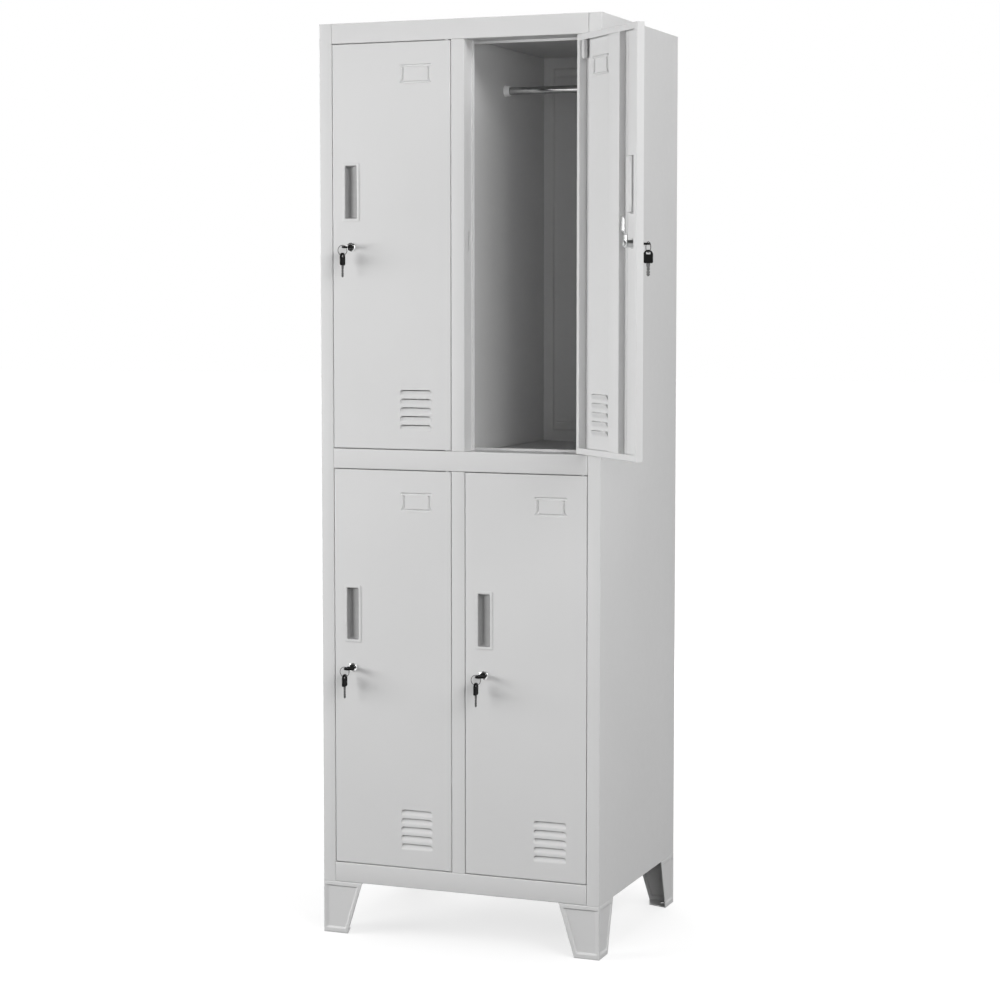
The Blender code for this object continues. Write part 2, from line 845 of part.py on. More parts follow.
def key():
    """A key with its bow's round end at y 0 and its blade along +Y."""
    bow = []
    steps = 12
    for step in range(steps + 1):
        turn = math.pi + math.pi * step / steps
        bow.append((KEY_BOW * math.cos(turn), KEY_BOW * (1 + math.sin(turn))))
    shoulder = 0.006
    bow += [
        (KEY_BOW, KEY_BOW_LONG - 0.001),
        (shoulder, KEY_BOW_LONG),
        (-shoulder, KEY_BOW_LONG),
        (-KEY_BOW, KEY_BOW_LONG - 0.001),
    ]
    tip = 0.8 * KEY_BLADE
    blade = [
        (-KEY_BLADE, KEY_BOW_LONG - SHEET),
        (KEY_BLADE, KEY_BOW_LONG - SHEET),
        (tip, KEY_LONG - 0.002),
        (0.4 * tip, KEY_LONG),
        (-0.4 * tip, KEY_LONG),
        (-tip, KEY_LONG - 0.002),
    ]
    slot = rounded(
        2 * KEY_SLOT_HALF,
        2 * KEY_SLOT_RADIUS,
        0.98 * KEY_SLOT_RADIUS,
        (0.0, KEY_SLOT_AT),
    )
    body = join(
        prism(bow, "Z", -KEY_THICK / 2, KEY_THICK / 2),
        prism(blade, "Z", -BLADE_THICK / 2, BLADE_THICK / 2),
    )
    return cut(body, prism(slot, "Z", -KEY_THICK, KEY_THICK))


def key_ring():
    """The wire ring, in the plane of x and z round the origin."""
    sides = 6
    profile = []
    for i in range(sides):
        turn = 2 * math.pi * i / sides
        profile.append(
            (RING_RADIUS + RING_WIRE * math.cos(turn), RING_WIRE * math.sin(turn))
        )
    return smooth(turned(profile, "Y", 24), 80)


def hinge_pin(lows, highs):
    """A pin between two heights, with a collar in each gap between door and rail."""
    profile = [(0.0, lows[0]), (PIN_RADIUS, lows[0])]
    for low in lows[1:]:
        profile += [
            (PIN_RADIUS, low + GAP),
            (PIN_COLLAR, low + GAP),
            (PIN_COLLAR, low + DOOR_GAP - GAP),
            (PIN_RADIUS, low + DOOR_GAP - GAP),
        ]
    profile += [(PIN_RADIUS, highs), (0.0, highs)]
    return smooth(turned(profile, "Z", 12))


# ---------------------------------------------------------------- assembly


def build_carcass(frame, finishes):
    """Walls, shelves, legs, rods and hinge pins."""
    paint, chrome, plastic, steel = (
        finishes[name] for name in ("paint", "chrome", "plastic", "steel")
    )
    place("top_panel", top_panel(), paint, frame)
    place("middle_shelf", middle_shelf(), paint, frame)
    place("base_panel", base_panel(), paint, frame)
    place("back_panel", back_panel(), paint, frame)
    for side in COLUMNS:
        place(f"{side}_side_panel", side_panel(side), paint, frame)
    for tier in TIERS:
        place(f"{tier}_partition", partition(tier), paint, frame)

    one_leg = leg()
    corners = [("front_left", 0), ("front_right", 1), ("rear_right", 2), ("rear_left", 3)]
    for name, quarter in corners:
        x = HALF if "right" in name else -HALF
        y = DEPTH if "rear" in name else 0.0
        turn = (0, 0, quarter * math.pi / 2)
        place(f"{name}_leg", one_leg, paint, frame, (x, y, 0), turn)

    one_rod = clothes_rod()
    one_socket = side_socket()
    double = middle_socket()
    for tier in TIERS:
        height = rod_z(tier)
        place(f"{tier}_middle_socket", double, plastic, frame, (0, ROD_BACK, height))
        for side, way in (("left", -1), ("right", 1)):
            turn = (0, 0, math.pi if way < 0 else 0)
            back = (0, 0, 0 if way < 0 else math.pi)
            wall = way * (HALF - SHEET - GAP)
            place(f"{tier}_{side}_rod", one_rod, chrome, frame, (0, ROD_BACK, height), turn)
            place(
                f"{tier}_{side}_socket",
                one_socket,
                plastic,
                frame,
                (wall, ROD_BACK, height),
                back,
            )

    low, high = TIERS["lower"], TIERS["upper"]
    reach = DOOR_GAP + PIN_REACH
    pins = {
        "bottom": hinge_pin([low - reach, low], low + reach),
        "middle": hinge_pin(
            [high - RAIL - reach, high - RAIL - DOOR_GAP, high], high + reach
        ),
        "top": hinge_pin(
            [HEIGHT - RAIL - reach, HEIGHT - RAIL - DOOR_GAP], HEIGHT - RAIL + reach
        ),
    }
    for level, mesh in pins.items():
        for side in COLUMNS:
            place(
                f"{level}_{side}_hinge_pin",
                mesh,
                steel,
                frame,
                (pivot_x(side), PIVOT_DEEP, 0),
            )


def build_doors(frame, finishes):
    """Four doors, each with its lock, its key and the spare key on a ring."""
    paint, chrome, plastic, steel, black = (
        finishes[name] for name in ("paint", "chrome", "plastic", "steel", "black")
    )
    panel, hat, cup = door_panel(), stiffener(), handle_cup()
    barrel, cam, one_key, ring = lock_barrel(), lock_cam(), key(), key_ring()
    rim = -(KEY_SLOT_HALF + bow_half_at(KEY_SLOT_AT)) / 2
    ring_y = KEY_SLOT_AT - KEY_OUT
    for name in DOORS:
        tier, side = name.split("_")
        angle = OPEN_ANGLE if name == OPEN_DOOR else 0.0
        at = (pivot_x(side), PIVOT_DEEP, TIERS[tier] + DOOR_GAP)
        door = holder(f"hinge_{name}", frame, at, (0, 0, angle))
        place(f"{name}_door", panel, paint, door)
        place(f"{name}_stiffener", hat, paint, door)
        place(f"{name}_handle", cup, plastic, door)

        axis = (door_x(DOOR_WIDTH - LOCK_IN), door_y(0.0), LOCK_Z)
        lock = holder(f"lock_{name}", door, axis)
        place(f"{name}_lock_barrel", barrel, chrome, door, axis)
        place(f"{name}_lock_cam", cam, steel, lock)
        place(f"{name}_key", one_key, black, lock, (0, -KEY_OUT, 0))

        swing = holder(f"swing_{name}", lock, (rim, ring_y, 0))
        place(f"{name}_key_ring", ring, steel, swing, (0, 0, -RING_DROP))
        wire_top = -RING_DROP - RING_RADIUS + RING_WIRE + GAP
        spare_top = wire_top + KEY_SLOT_AT - KEY_SLOT_RADIUS
        spare = place(f"{name}_spare_key", one_key, black, swing)
        hang = Matrix(((0, 0, -1), (1, 0, 0), (0, -1, 0))).to_4x4()
        spare.matrix_local = Matrix.Translation((0, 0, spare_top)) @ hang


def bow_half_at(y):
    """Half the width of a key's bow at a distance from its round end."""
    return math.sqrt(KEY_BOW**2 - (KEY_BOW - y) ** 2)


def centre_on_base(frame):
    """Put the world's origin at the middle of the whole object's base."""
    bpy.context.view_layer.update()
    corners = [
        thing.matrix_world @ Vector(corner)
        for thing in bpy.context.scene.objects
        if thing.type == "MESH"
        for corner in (v.co for v in thing.data.vertices)
    ]
    for axis in (0, 1):
        low = min(c[axis] for c in corners)
        high = max(c[axis] for c in corners)
        frame.location[axis] = -(low + high) / 2
    bpy.context.view_layer.update()


def main():
    clear_scene()
    finishes = {
        "paint": material("powder_coat", (0.62, 0.62, 0.62), 0.45),
        "chrome": material("chrome", (0.80, 0.80, 0.80), 0.12, 1.0),
        "steel": material("zinc_steel", (0.55, 0.55, 0.56), 0.35, 1.0),
        "plastic": material("grey_plastic", (0.66, 0.66, 0.66), 0.40),
        "black": material("black_plastic", (0.03, 0.03, 0.03), 0.45),
    }
    frame = holder("cabinet_frame", None)
    build_carcass(frame, finishes)
    build_doors(frame, finishes)
    centre_on_base(frame)


main()
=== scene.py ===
"""The looks of the sheet-metal locker cabinet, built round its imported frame.

Lengths are in metres. "Cabinet" coordinates have x 0 at the middle of the
front, y 0 at the front face and z 0 at the floor. A door is built closed, with
its hinge edge at x 0, its face at y 0 and its bottom at z 0.
"""

import json
import math

import bmesh
import bpy
from mathutils import Matrix, Vector

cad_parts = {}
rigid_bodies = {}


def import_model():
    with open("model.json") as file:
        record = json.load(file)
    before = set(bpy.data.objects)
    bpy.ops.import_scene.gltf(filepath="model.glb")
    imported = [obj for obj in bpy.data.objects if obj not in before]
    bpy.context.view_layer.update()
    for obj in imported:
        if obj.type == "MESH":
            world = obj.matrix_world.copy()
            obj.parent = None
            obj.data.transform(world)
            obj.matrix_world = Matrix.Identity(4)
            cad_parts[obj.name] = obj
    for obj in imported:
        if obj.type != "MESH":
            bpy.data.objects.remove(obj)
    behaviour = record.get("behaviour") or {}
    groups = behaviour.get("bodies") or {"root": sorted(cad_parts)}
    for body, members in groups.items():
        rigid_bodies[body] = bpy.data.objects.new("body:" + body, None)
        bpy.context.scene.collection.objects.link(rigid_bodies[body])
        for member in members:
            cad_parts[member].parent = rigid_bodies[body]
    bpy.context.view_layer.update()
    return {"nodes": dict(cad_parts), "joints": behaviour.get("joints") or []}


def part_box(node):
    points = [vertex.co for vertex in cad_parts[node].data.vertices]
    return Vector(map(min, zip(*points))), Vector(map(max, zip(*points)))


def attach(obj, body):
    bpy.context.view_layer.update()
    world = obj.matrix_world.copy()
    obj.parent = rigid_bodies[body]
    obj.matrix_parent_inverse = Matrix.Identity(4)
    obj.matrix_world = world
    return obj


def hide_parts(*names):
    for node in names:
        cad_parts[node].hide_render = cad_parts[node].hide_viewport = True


for thing in list(bpy.data.objects):
    bpy.data.objects.remove(thing, do_unlink=True)

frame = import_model()

# ---- sizes

HEIGHT = 1.850
WIDTH = 0.600
DEPTH = 0.490
LEG_HEIGHT = 0.108
RAIL = 0.040
STILE = 0.0272
MULLION = 0.028
FRAME_RETURN = 0.040
FRAME_LIP = 0.006
RAIL_LEDGE = 0.060
RAIL_LIP = 0.005
FLOOR_DROP = 0.0055
BACK_FLANGE = 0.015
SHEET = 0.001
GAP = 0.0003
DOOR_GAP = 0.0015
DOOR_THICK = 0.016
DOOR_LIP = 0.0123
PIVOT_IN = 0.0085
PIVOT_DEEP = 0.004
HAT_CENTRE = 0.0988
HAT_FACE = 0.043
HAT_DEEP = 0.0135
HAT_FOOT = 0.010
VENT_COUNT = 5
VENT_PITCH = 0.0174
VENT_FIRST = 0.0495
VENT_LENGTH = 0.069
VENT_FROM_HINGE = 0.041
VENT_DEEP = 0.0046
VENT_GAP = 0.0018
VENT_CORNER = 0.0055
VENT_WALL = 0.0014
VENT_FADE = 0.0130
CARD_WIDE = 0.067
CARD_TALL = 0.040
CARD_DOWN = 0.0428
CARD_FROM_HINGE = 0.0412
PIN_HOLE = 0.0025
SLEEVE_DEEP = 0.0078
HANDLE_IN = 0.040
HANDLE_ABOVE = 0.110
HANDLE_WIDE = 0.026
HANDLE_TALL = 0.106
HANDLE_RIM = 0.0055
HANDLE_WALL = 0.0012
HANDLE_DEEP = 0.011
HANDLE_CORNER = 0.003
LOCK_IN = 0.040
LOCK_BODY = 0.0070
LOCK_BEZEL = 0.0093
LOCK_PROUD = 0.0025
LOCK_LONG = 0.0175
NUT_THICK = 0.003
NUT_RADIUS = 0.0108
PLUG_RADIUS = 0.0050
CAM_REACH = 0.050
CAM_HALF = 0.007
CAM_THICK = 0.002
CAM_CRANK = 0.005
KEY_BOW = 0.0095
KEY_BOW_LONG = 0.025
KEY_LONG = 0.049
KEY_BLADE = 0.0035
KEY_THICK = 0.004
BLADE_THICK = 0.002
KEY_OUT = 0.032
KEY_SLOT_AT = 0.0062
KEY_SLOT_HALF = 0.0055
KEY_SLOT_RADIUS = 0.0022
RING_RADIUS = 0.010
RING_WIRE = 0.0008
ROD_RADIUS = 0.0075
ROD_BORE = 0.0079
ROD_BELOW_RAIL = 0.082
ROD_BACK = 0.257
SOCKET_RADIUS = 0.012
SOCKET_THICK = 0.011
SOCKET_BASE = 0.001
SOCKET_HOLE = 0.0053
LEG_SHEET = 0.0015
LEG_TOP = 0.086
LEG_BOTTOM = 0.053
LEG_PLATE_CORNER = 0.040
LEG_HOLE_IN = 0.019
LEG_HOLE = 0.005
LEG_INSET = 0.0009
LEG_EDGE = 0.0011
FIELD_MARGIN = 0.0215
FIELD_SLOPE = 0.005
FIELD_DEEP = 0.003

BEND = 0.0016
EASE = 0.0004
HALF = WIDTH / 2
INNER_HALF = HALF - SHEET - GAP
OPEN_HEIGHT = (HEIGHT - LEG_HEIGHT - 3 * RAIL) / 2
TIERS = {"upper": HEIGHT - RAIL - OPEN_HEIGHT, "lower": LEG_HEIGHT + RAIL}
OPEN_WIDTH = HALF - STILE - MULLION / 2
COLUMNS = {"left": -HALF + STILE, "right": MULLION / 2}
DOOR_WIDTH = OPEN_WIDTH - 2 * DOOR_GAP
DOOR_HEIGHT = OPEN_HEIGHT - 2 * DOOR_GAP
BACK_FRONT = DEPTH - 2 * SHEET - GAP
SHELF_BACK = BACK_FRONT - GAP
LOCK_BORE = PLUG_RADIUS + GAP + 0.0001
VENT_TOPS = [VENT_FIRST + i * VENT_PITCH for i in range(VENT_COUNT)]
LOCK_Z = DOOR_HEIGHT / 2
LOCK_X = LOCK_IN - DOOR_WIDTH
HANDLE_X = HANDLE_IN - DOOR_WIDTH
HANDLE_Z = LOCK_Z + HANDLE_ABOVE
BOW_HALF = math.sqrt(KEY_BOW**2 - (KEY_BOW - KEY_SLOT_AT) ** 2)
RIM_HALF = (BOW_HALF - KEY_SLOT_HALF) / 2
RING_PIVOT = (-KEY_SLOT_HALF - RIM_HALF, KEY_SLOT_AT - KEY_OUT, 0.0)
RING_DROP = RING_RADIUS - RING_WIRE - math.hypot(KEY_THICK / 2, RIM_HALF) - GAP

side_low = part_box("left_side_panel")[0]
CABINET = Matrix.Translation((side_low.x + HALF, side_low.y, 0.0))

# ---- materials


class Nodes:
    """A node tree, with short calls to fill it."""

    def __init__(self, owner, shader):
        owner.use_nodes = True
        self.tree = owner.node_tree
        self.shader = self.tree.nodes[shader]
        self.coordinates = self.tree.nodes.new("ShaderNodeTexCoord").outputs

    def add(self, kind, values=None, links=None, **options):
        """A new node's output. Its sockets are set by name or by number."""
        node = self.tree.nodes.new(kind)
        for name, value in options.items():
            setattr(node, name, value)
        for name, value in (values or {}).items():
            node.inputs[name].default_value = value
        for name, source in (links or {}).items():
            self.tree.links.new(source, node.inputs[name])
        return next(socket for socket in node.outputs if socket.enabled)

    def noise(self, scale, detail=2.0, roughness=0.5):
        values = {"Scale": scale, "Detail": detail, "Roughness": roughness}
        place = self.coordinates["Object"]
        return self.add("ShaderNodeTexNoise", values, {"Vector": place})

    def stretch(self, source, low, high, start=0.3, end=0.7):
        """Map start to end onto low to high."""
        span = {"From Min": start, "From Max": end, "To Min": low, "To Max": high}
        return self.add("ShaderNodeMapRange", span, {"Value": source})

    def tint(self, source, dark, light):
        """Mix two colours by a noise."""
        colour = self.add("ShaderNodeValToRGB", links={"Fac": source})
        stops = colour.node.color_ramp.elements
        for stop, position, shade in zip(stops, (0.3, 0.7), (dark, light)):
            stop.position = position
            stop.color = (*shade, 1.0)
        return colour

    def bump(self, source, strength, distance, below=None):
        links = {"Height": source}
        if below:
            links["Normal"] = below
        values = {"Strength": strength, "Distance": distance}
        return self.add("ShaderNodeBump", values, links)

    def maths(self, operation, source, other):
        """One output taken with a number or with another output."""
        values = {1: other} if isinstance(other, float) else {}
        links = {0: source} if values else {0: source, 1: other}
        return self.add("ShaderNodeMath", values, links, operation=operation)

    def set(self, **values):
        for name, value in values.items():
            self.shader.inputs[name.replace("_", " ")].default_value = value

    def link(self, name, source):
        self.tree.links.new(source, self.shader.inputs[name])


def grey(value):
    return (value, value, value)


def surface(name, colour, rough, *grains, **fixed):
    """A material whose colour, roughness and grain each follow their own noise."""
    material = bpy.data.materials.new(name)
    n = Nodes(material, "Principled BSDF")
    noise, dark, light = colour
    n.link("Base Color", n.tint(n.noise(*noise), dark, light))
    noise, smooth, dull = rough
    n.link("Roughness", n.stretch(n.noise(*noise), smooth, dull))
    skin = None
    for noise, strength, distance in grains:
        skin = n.bump(n.noise(*noise), strength, distance, skin)
    n.link("Normal", skin)
    n.set(**fixed)
    return material


def chrome(name, dark, bright, smooth, dull):
    """Polished chrome plate with a faint haze and fine scratches."""
    return surface(
        name,
        ((90.0, 3.0), grey(dark), grey(bright)),
        ((220.0, 4.0), smooth, dull),
        ((1500.0, 2.0), 0.04, 0.00005),
        Metallic=1.0,
    )


def plastic(name, value, rough, grain, shine=0.5):
    """Moulded plastic with a spark-eroded grain."""
    return surface(
        name,
        ((80.0, 2.0), grey(0.94 * value), grey(value)),
        ((300.0, 2.0), rough - 0.05, rough + 0.07),
        ((grain, 3.0), 0.15, 0.00006),
        Specular_IOR_Level=shine,
    )


# Satin polyester powder: an orange-peel skin with a fine grain on it.
PAINT = surface(
    "powder_coat",
    ((3.0, 3.0), grey(0.612), grey(0.632)),
    ((60.0, 3.0), 0.46, 0.56),
    ((420.0, 2.0), 0.16, 0.0002),
    ((1700.0, 2.0), 0.10, 0.00008),
    IOR=1.5,
    Specular_IOR_Level=0.35,
)
CHROME = chrome("chrome", 0.70, 0.80, 0.07, 0.16)
# A darker copy of the chrome for the clothes rods: its low base colour paints darker
# reflections along them.
DARKENED_ROD_CHROME = chrome("rod_chrome_painted_dark", 0.44, 0.54, 0.04, 0.10)
# Bright zinc plate: cloudy and a little dull.
ZINC = surface(
    "zinc_plate",
    ((260.0, 4.0, 0.6), (0.34, 0.35, 0.36), (0.48, 0.48, 0.47)),
    ((500.0, 3.0), 0.30, 0.48),
    ((1800.0, 3.0), 0.10, 0.00006),
    Metallic=1.0,
)
# Bare milled key steel.
STEEL = surface(
    "key_steel",
    ((400.0, 3.0), grey(0.09), grey(0.15)),
    ((700.0, 2.0), 0.34, 0.48),
    ((2500.0, 2.0), 0.12, 0.00005),
    Metallic=1.0,
)
SOCKET = plastic("white_plastic", 0.86, 0.40, 1500.0)
RECESS = plastic("recess_plastic", 0.62, 0.46, 1500.0)
# A dark plastic that paints the shade inside the finger pull's cup.
CUP_SHADE_PAINT = plastic("cup_painted_shade", 0.30, 0.50, 1500.0, 0.3)
BLACK = plastic("black_plastic", 0.006, 0.50, 1800.0, 0.06)

# ---- mesh tools


def mesh_of(points, faces):
    """A closed mesh with its faces pointing out."""
    shape = bmesh.new()
    corners = [shape.verts.new(p) for p in points]
    for face in faces:
        shape.faces.new([corners[i] for i in face])
    bmesh.ops.recalc_face_normals(shape, faces=shape.faces)
    mesh = bpy.data.meshes.new("piece")
    shape.to_mesh(mesh)
    shape.free()
    return mesh


def band(a, b):
    """The faces between two loops of as many points each."""
    return zip(a, a[1:] + a[:1], b[1:] + b[:1], b)


def loft(loops, closed=False):
    """A solid through loops of as many points each, capped or closed on itself."""
    count = len(loops[0])
    points = [p for loop in loops for p in loop]
    rings = [list(range(at, at + count)) for at in range(0, len(points), count)]
    faces = [] if closed else [rings[0], rings[-1]]
    for a, b in zip(rings, rings[1:] + rings[:1] if closed else rings[1:]):
        faces += band(a, b)
    return mesh_of(points, faces)


def along(axis, u, v, position):
    return {"X": (position, u, v), "Y": (u, position, v), "Z": (u, v, position)}[axis]


def prism(outline, axis, low, high):
    return loft([[along(axis, u, v, at) for u, v in outline] for at in (low, high)])


def block(low, high):
    (a, b, base), (c, d, head) = low, high
    return prism([(a, b), (c, b), (c, d), (a, d)], "Z", base, head)


def mirrored(half):
    """Half an outline, carried on by its mirror image across the first axis."""
    return half + [(-u, v) for u, v in half[::-1]]


def polar(radius, turn):
    return (radius * math.cos(turn), radius * math.sin(turn))


def rod(radius, axis, low, high, centre=(0.0, 0.0), segments=48):
    spokes = [polar(radius, 2 * math.pi * i / segments) for i in range(segments)]
    outline = [(centre[0] + u, centre[1] + v) for u, v in spokes]
    return prism(outline, axis, low, high)


def quarter_round(radius, steps=6):
    """Steps round a quarter circle, from the first axis to the second."""
    return [polar(radius, math.pi / 2 * step / steps) for step in range(steps + 1)]


def turned(profile, axis, segments=64):
    """A turned solid: a profile of (radius, position) that starts and ends on the
    axis, or any other one closed on itself."""
    points = []
    rings = []
    for radius, position in profile:
        count = segments if radius > 0 else 1
        rings.append(list(range(len(points), len(points) + count)))
        for i in range(count):
            u, v = polar(radius, 2 * math.pi * i / segments)
            points.append(along(axis, u, v, position))
    pairs = list(zip(rings, rings[1:]))
    if profile[0][0] > 0:
        pairs.append((rings[-1], rings[0]))
    faces = []
    for a, b in pairs:
        for i in range(segments):
            j = (i + 1) % segments
            corners = [a[i % len(a)], a[j % len(a)], b[j % len(b)], b[i % len(b)]]
            faces.append(tuple(dict.fromkeys(corners)))
    return mesh_of(points, faces)


def rounded(width, height, radius, centre=(0.0, 0.0), steps=6):
    """The outline of a rectangle with round corners."""
    outline = []
    for quarter, (x, y) in enumerate(((1, 1), (-1, 1), (-1, -1), (1, -1))):
        middle_u = centre[0] + x * (width / 2 - radius)
        middle_v = centre[1] + y * (height / 2 - radius)
        for step in range(steps + 1):
            u, v = polar(radius, math.pi / 2 * quarter + math.pi / 2 * step / steps)
            outline.append((middle_u + u, middle_v + v))
    return outline


def arc(before, corner, after, radius, steps):
    """A corner rounded to a radius, as far as its edges are long enough."""
    corner = Vector(corner)
    one = Vector(before) - corner
    two = Vector(after) - corner
    angle = one.angle(two)
    if angle > math.radians(175):
        return [tuple(corner)]
    reach = radius / math.tan(angle / 2)
    reach = min(reach, 0.48 * one.length, 0.48 * two.length)
    radius = reach * math.tan(angle / 2)
    way = (one.normalized() + two.normalized()).normalized()
    middle = corner + way * (radius / math.sin(angle / 2))
    start = corner + one.normalized() * reach - middle
    end = corner + two.normalized() * reach - middle
    sweep = start.angle_signed(end)
    points = []
    for step in range(steps + 1):
        turn = -sweep * step / steps
        c, s = math.cos(turn), math.sin(turn)
        x, y = start.x * c - start.y * s, start.x * s + start.y * c
        points.append((middle.x + x, middle.y + y))
    return points


def soften(outline, bend=BEND, edge=0.00025, steps=5, sheet=SHEET):
    """A folded sheet's outline with round bends and eased cut edges."""
    pairs = zip(outline, outline[1:] + outline[:1])
    way = 1 if sum(a[0] * b[1] - b[0] * a[1] for a, b in pairs) > 0 else -1
    points = []
    for i, corner in enumerate(outline):
        before, after = outline[i - 1], outline[(i + 1) % len(outline)]
        one = Vector(before) - Vector(corner)
        two = Vector(after) - Vector(corner)
        convex = way * (-one).cross(two) > 0
        radius = bend if convex else max(bend - sheet, EASE)
        cut_edge = min(one.length, two.length) < 1.3 * sheet
        bent = (edge, 2) if cut_edge else (radius, steps)
        points += arc(before, corner, after, *bent)
    return points


def linked(name, data):
    """A new object in the scene."""
    thing = bpy.data.objects.new(name, data)
    bpy.context.scene.collection.objects.link(thing)
    return thing


def combine(base, tools, operation):
    """The mesh of a base after each tool has cut, joined or trimmed it."""
    target = linked("target", base)
    helpers = [linked("tool", tool) for tool in tools]
    for helper in helpers:
        step = target.modifiers.new(operation.lower(), "BOOLEAN")
        step.operation = operation
        step.solver = "EXACT"
        step.object = helper
    return settled(target, *helpers)


def settled(target, *helpers):
    """The mesh of an object with its modifiers; the objects are removed."""
    graph = bpy.context.evaluated_depsgraph_get()
    mesh = bpy.data.meshes.new_from_object(target.evaluated_get(graph))
    for thing in [target, *helpers]:
        bpy.data.objects.remove(thing, do_unlink=True)
    return mesh


def cut(base, *tools):
    return combine(base, tools, "DIFFERENCE")


def join(base, *tools):
    return combine(base, tools, "UNION")


def eased(mesh, width=EASE, segments=2, angle=40):
    """Round the sharp edges of a mesh."""
    target = linked("target", mesh)
    step = target.modifiers.new("edges", "BEVEL")
    step.width = width
    step.segments = segments
    step.limit_method = "ANGLE"
    step.angle_limit = math.radians(angle)
    return settled(target)


def show(name, mesh, material, body, slot, node=None, matrix=CABINET, sharp=30):
    """Put a piece in the scene, riding on a body, in place of its CAD node."""
    mesh = mesh.copy() if mesh.users else mesh
    mesh.materials.clear()
    mesh.materials.append(material)
    mesh.shade_smooth()
    mesh.set_sharp_from_angle(angle=math.radians(sharp))
    piece = linked(name, mesh)
    piece.matrix_world = matrix
    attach(piece, body)
    if node:
        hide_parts(node)


# ---- carcass


def pin_holes(low, high):
    xs = [start + OPEN_WIDTH - DOOR_GAP - PIVOT_IN for start in COLUMNS.values()]
    return [rod(PIN_HOLE, "Z", low, high, (x, PIVOT_DEEP), 24) for x in xs]


def lip_outline(ledge, way):
    """The outside of a folded ledge, with the turned lip behind it and the sheet
    beyond. It faces up where way is 1, and down where it is -1."""
    back = RAIL_LEDGE + 2 * SHEET
    return [
        (0.0, ledge), (RAIL_LEDGE, ledge), (RAIL_LEDGE, ledge + way * RAIL_LIP),
        (back, ledge + way * RAIL_LIP), (back, ledge - way * FLOOR_DROP),
        (SHELF_BACK, ledge - way * FLOOR_DROP),
    ]


def inner_outline(ledge, way):
    """The inside of the same sheet, from its back edge to the front."""
    inner = RAIL_LEDGE + SHEET
    return [
        (SHELF_BACK, ledge - way * (FLOOR_DROP + SHEET)),
        (inner, ledge - way * (FLOOR_DROP + SHEET)), (inner, ledge - way * SHEET),
        (SHEET, ledge - way * SHEET),
    ]


def outside_blocks(edge, front, back, low, high):
    """Blocks for all that lies beyond an edge on the left and on the right."""
    spans = ((-WIDTH, -edge), (edge, WIDTH))
    return [block((a, front, low), (b, back, high)) for a, b in spans]


def corner_cuts(low, high):
    """Room for the folded stiles at the front corners."""
    deep = FRAME_RETURN + 5 * GAP
    return outside_blocks(HALF - STILE - GAP, -SHEET, deep, low, high)


def skin_notches(low, high):
    """Room for the folded stiles in a front rail's skin."""
    return outside_blocks(HALF - STILE - GAP, -SHEET, SHEET + GAP, low, high)


def flange_cuts(low, high):
    """Room for the sides' flanges at the back."""
    front = DEPTH - 2.6 * SHEET
    return outside_blocks(HALF - BACK_FLANGE - GAP, front, 2 * DEPTH, low, high)


def end_panel(ledge, outer, way):
    """The top or base panel: a front rail and its ledge, closed by an outer sheet."""
    outline = lip_outline(ledge, way)[::-1]
    outline += [
        (0.0, outer), (DEPTH, outer), (DEPTH, outer + way * BACK_FLANGE),
        (DEPTH - SHEET, outer + way * BACK_FLANGE),
        (DEPTH - SHEET, outer + way * SHEET), (SHEET, outer + way * SHEET),
    ]
    outline += inner_outline(ledge, way)[::-1]
    return prism(soften(outline), "X", -INNER_HALF, INNER_HALF)


def top_panel():
    ledge = HEIGHT - RAIL
    return cut(
        end_panel(ledge, HEIGHT, -1),
        *corner_cuts(0, HEIGHT - SHEET - GAP / 2),
        *skin_notches(ledge - RAIL, 2 * HEIGHT),
        *pin_holes(ledge - SHEET, ledge + 2 * SHEET),
        *flange_cuts(0, HEIGHT - 1.5 * SHEET),
    )


def middle_shelf():
    high = TIERS["upper"]
    low = high - RAIL
    outline = lip_outline(high, 1)[::-1] + lip_outline(low, -1)
    outline += inner_outline(low, -1) + inner_outline(high, 1)[::-1]
    shelf = prism(soften(outline), "X", -INNER_HALF, INNER_HALF)
    return cut(
        shelf,
        *corner_cuts(low - RAIL, high + RAIL),
        *pin_holes(low - SHEET, low + 2 * SHEET),
        *pin_holes(high - 2 * SHEET, high + SHEET),
    )


def base_panel():
    ledge = TIERS["lower"]
    return cut(
        end_panel(ledge, LEG_HEIGHT, 1),
        *corner_cuts(LEG_HEIGHT + SHEET + GAP / 2, HEIGHT / 2),
        *skin_notches(0, ledge + RAIL),
        *pin_holes(ledge - 2 * SHEET, ledge + SHEET),
        *flange_cuts(LEG_HEIGHT + 1.5 * SHEET, HEIGHT / 2),
    )


def keeper_slot(wall, low):
    """The slot in a locker's wall for the whole sweep of its cam."""
    deep = DOOR_THICK + CAM_CRANK + CAM_THICK / 2
    slack = 0.0015
    axis = low + DOOR_GAP + LOCK_Z
    rise = CAM_REACH**2 + CAM_HALF**2 - (LOCK_IN + DOOR_GAP) ** 2
    return block(
        (wall - 2 * SHEET, deep - slack, axis - CAM_HALF - slack),
        (wall + 2 * SHEET, deep + CAM_THICK + slack, axis + math.sqrt(rise) + slack),
    )


def folded_return(edge):
    """A stile's or a mullion's edge, folded back and out into a lip."""
    return [
        (edge, 0.0), (edge, FRAME_RETURN - SHEET),
        (edge + FRAME_LIP, FRAME_RETURN - SHEET), (edge + FRAME_LIP, FRAME_RETURN),
        (edge - SHEET, FRAME_RETURN), (edge - SHEET, SHEET),
    ]


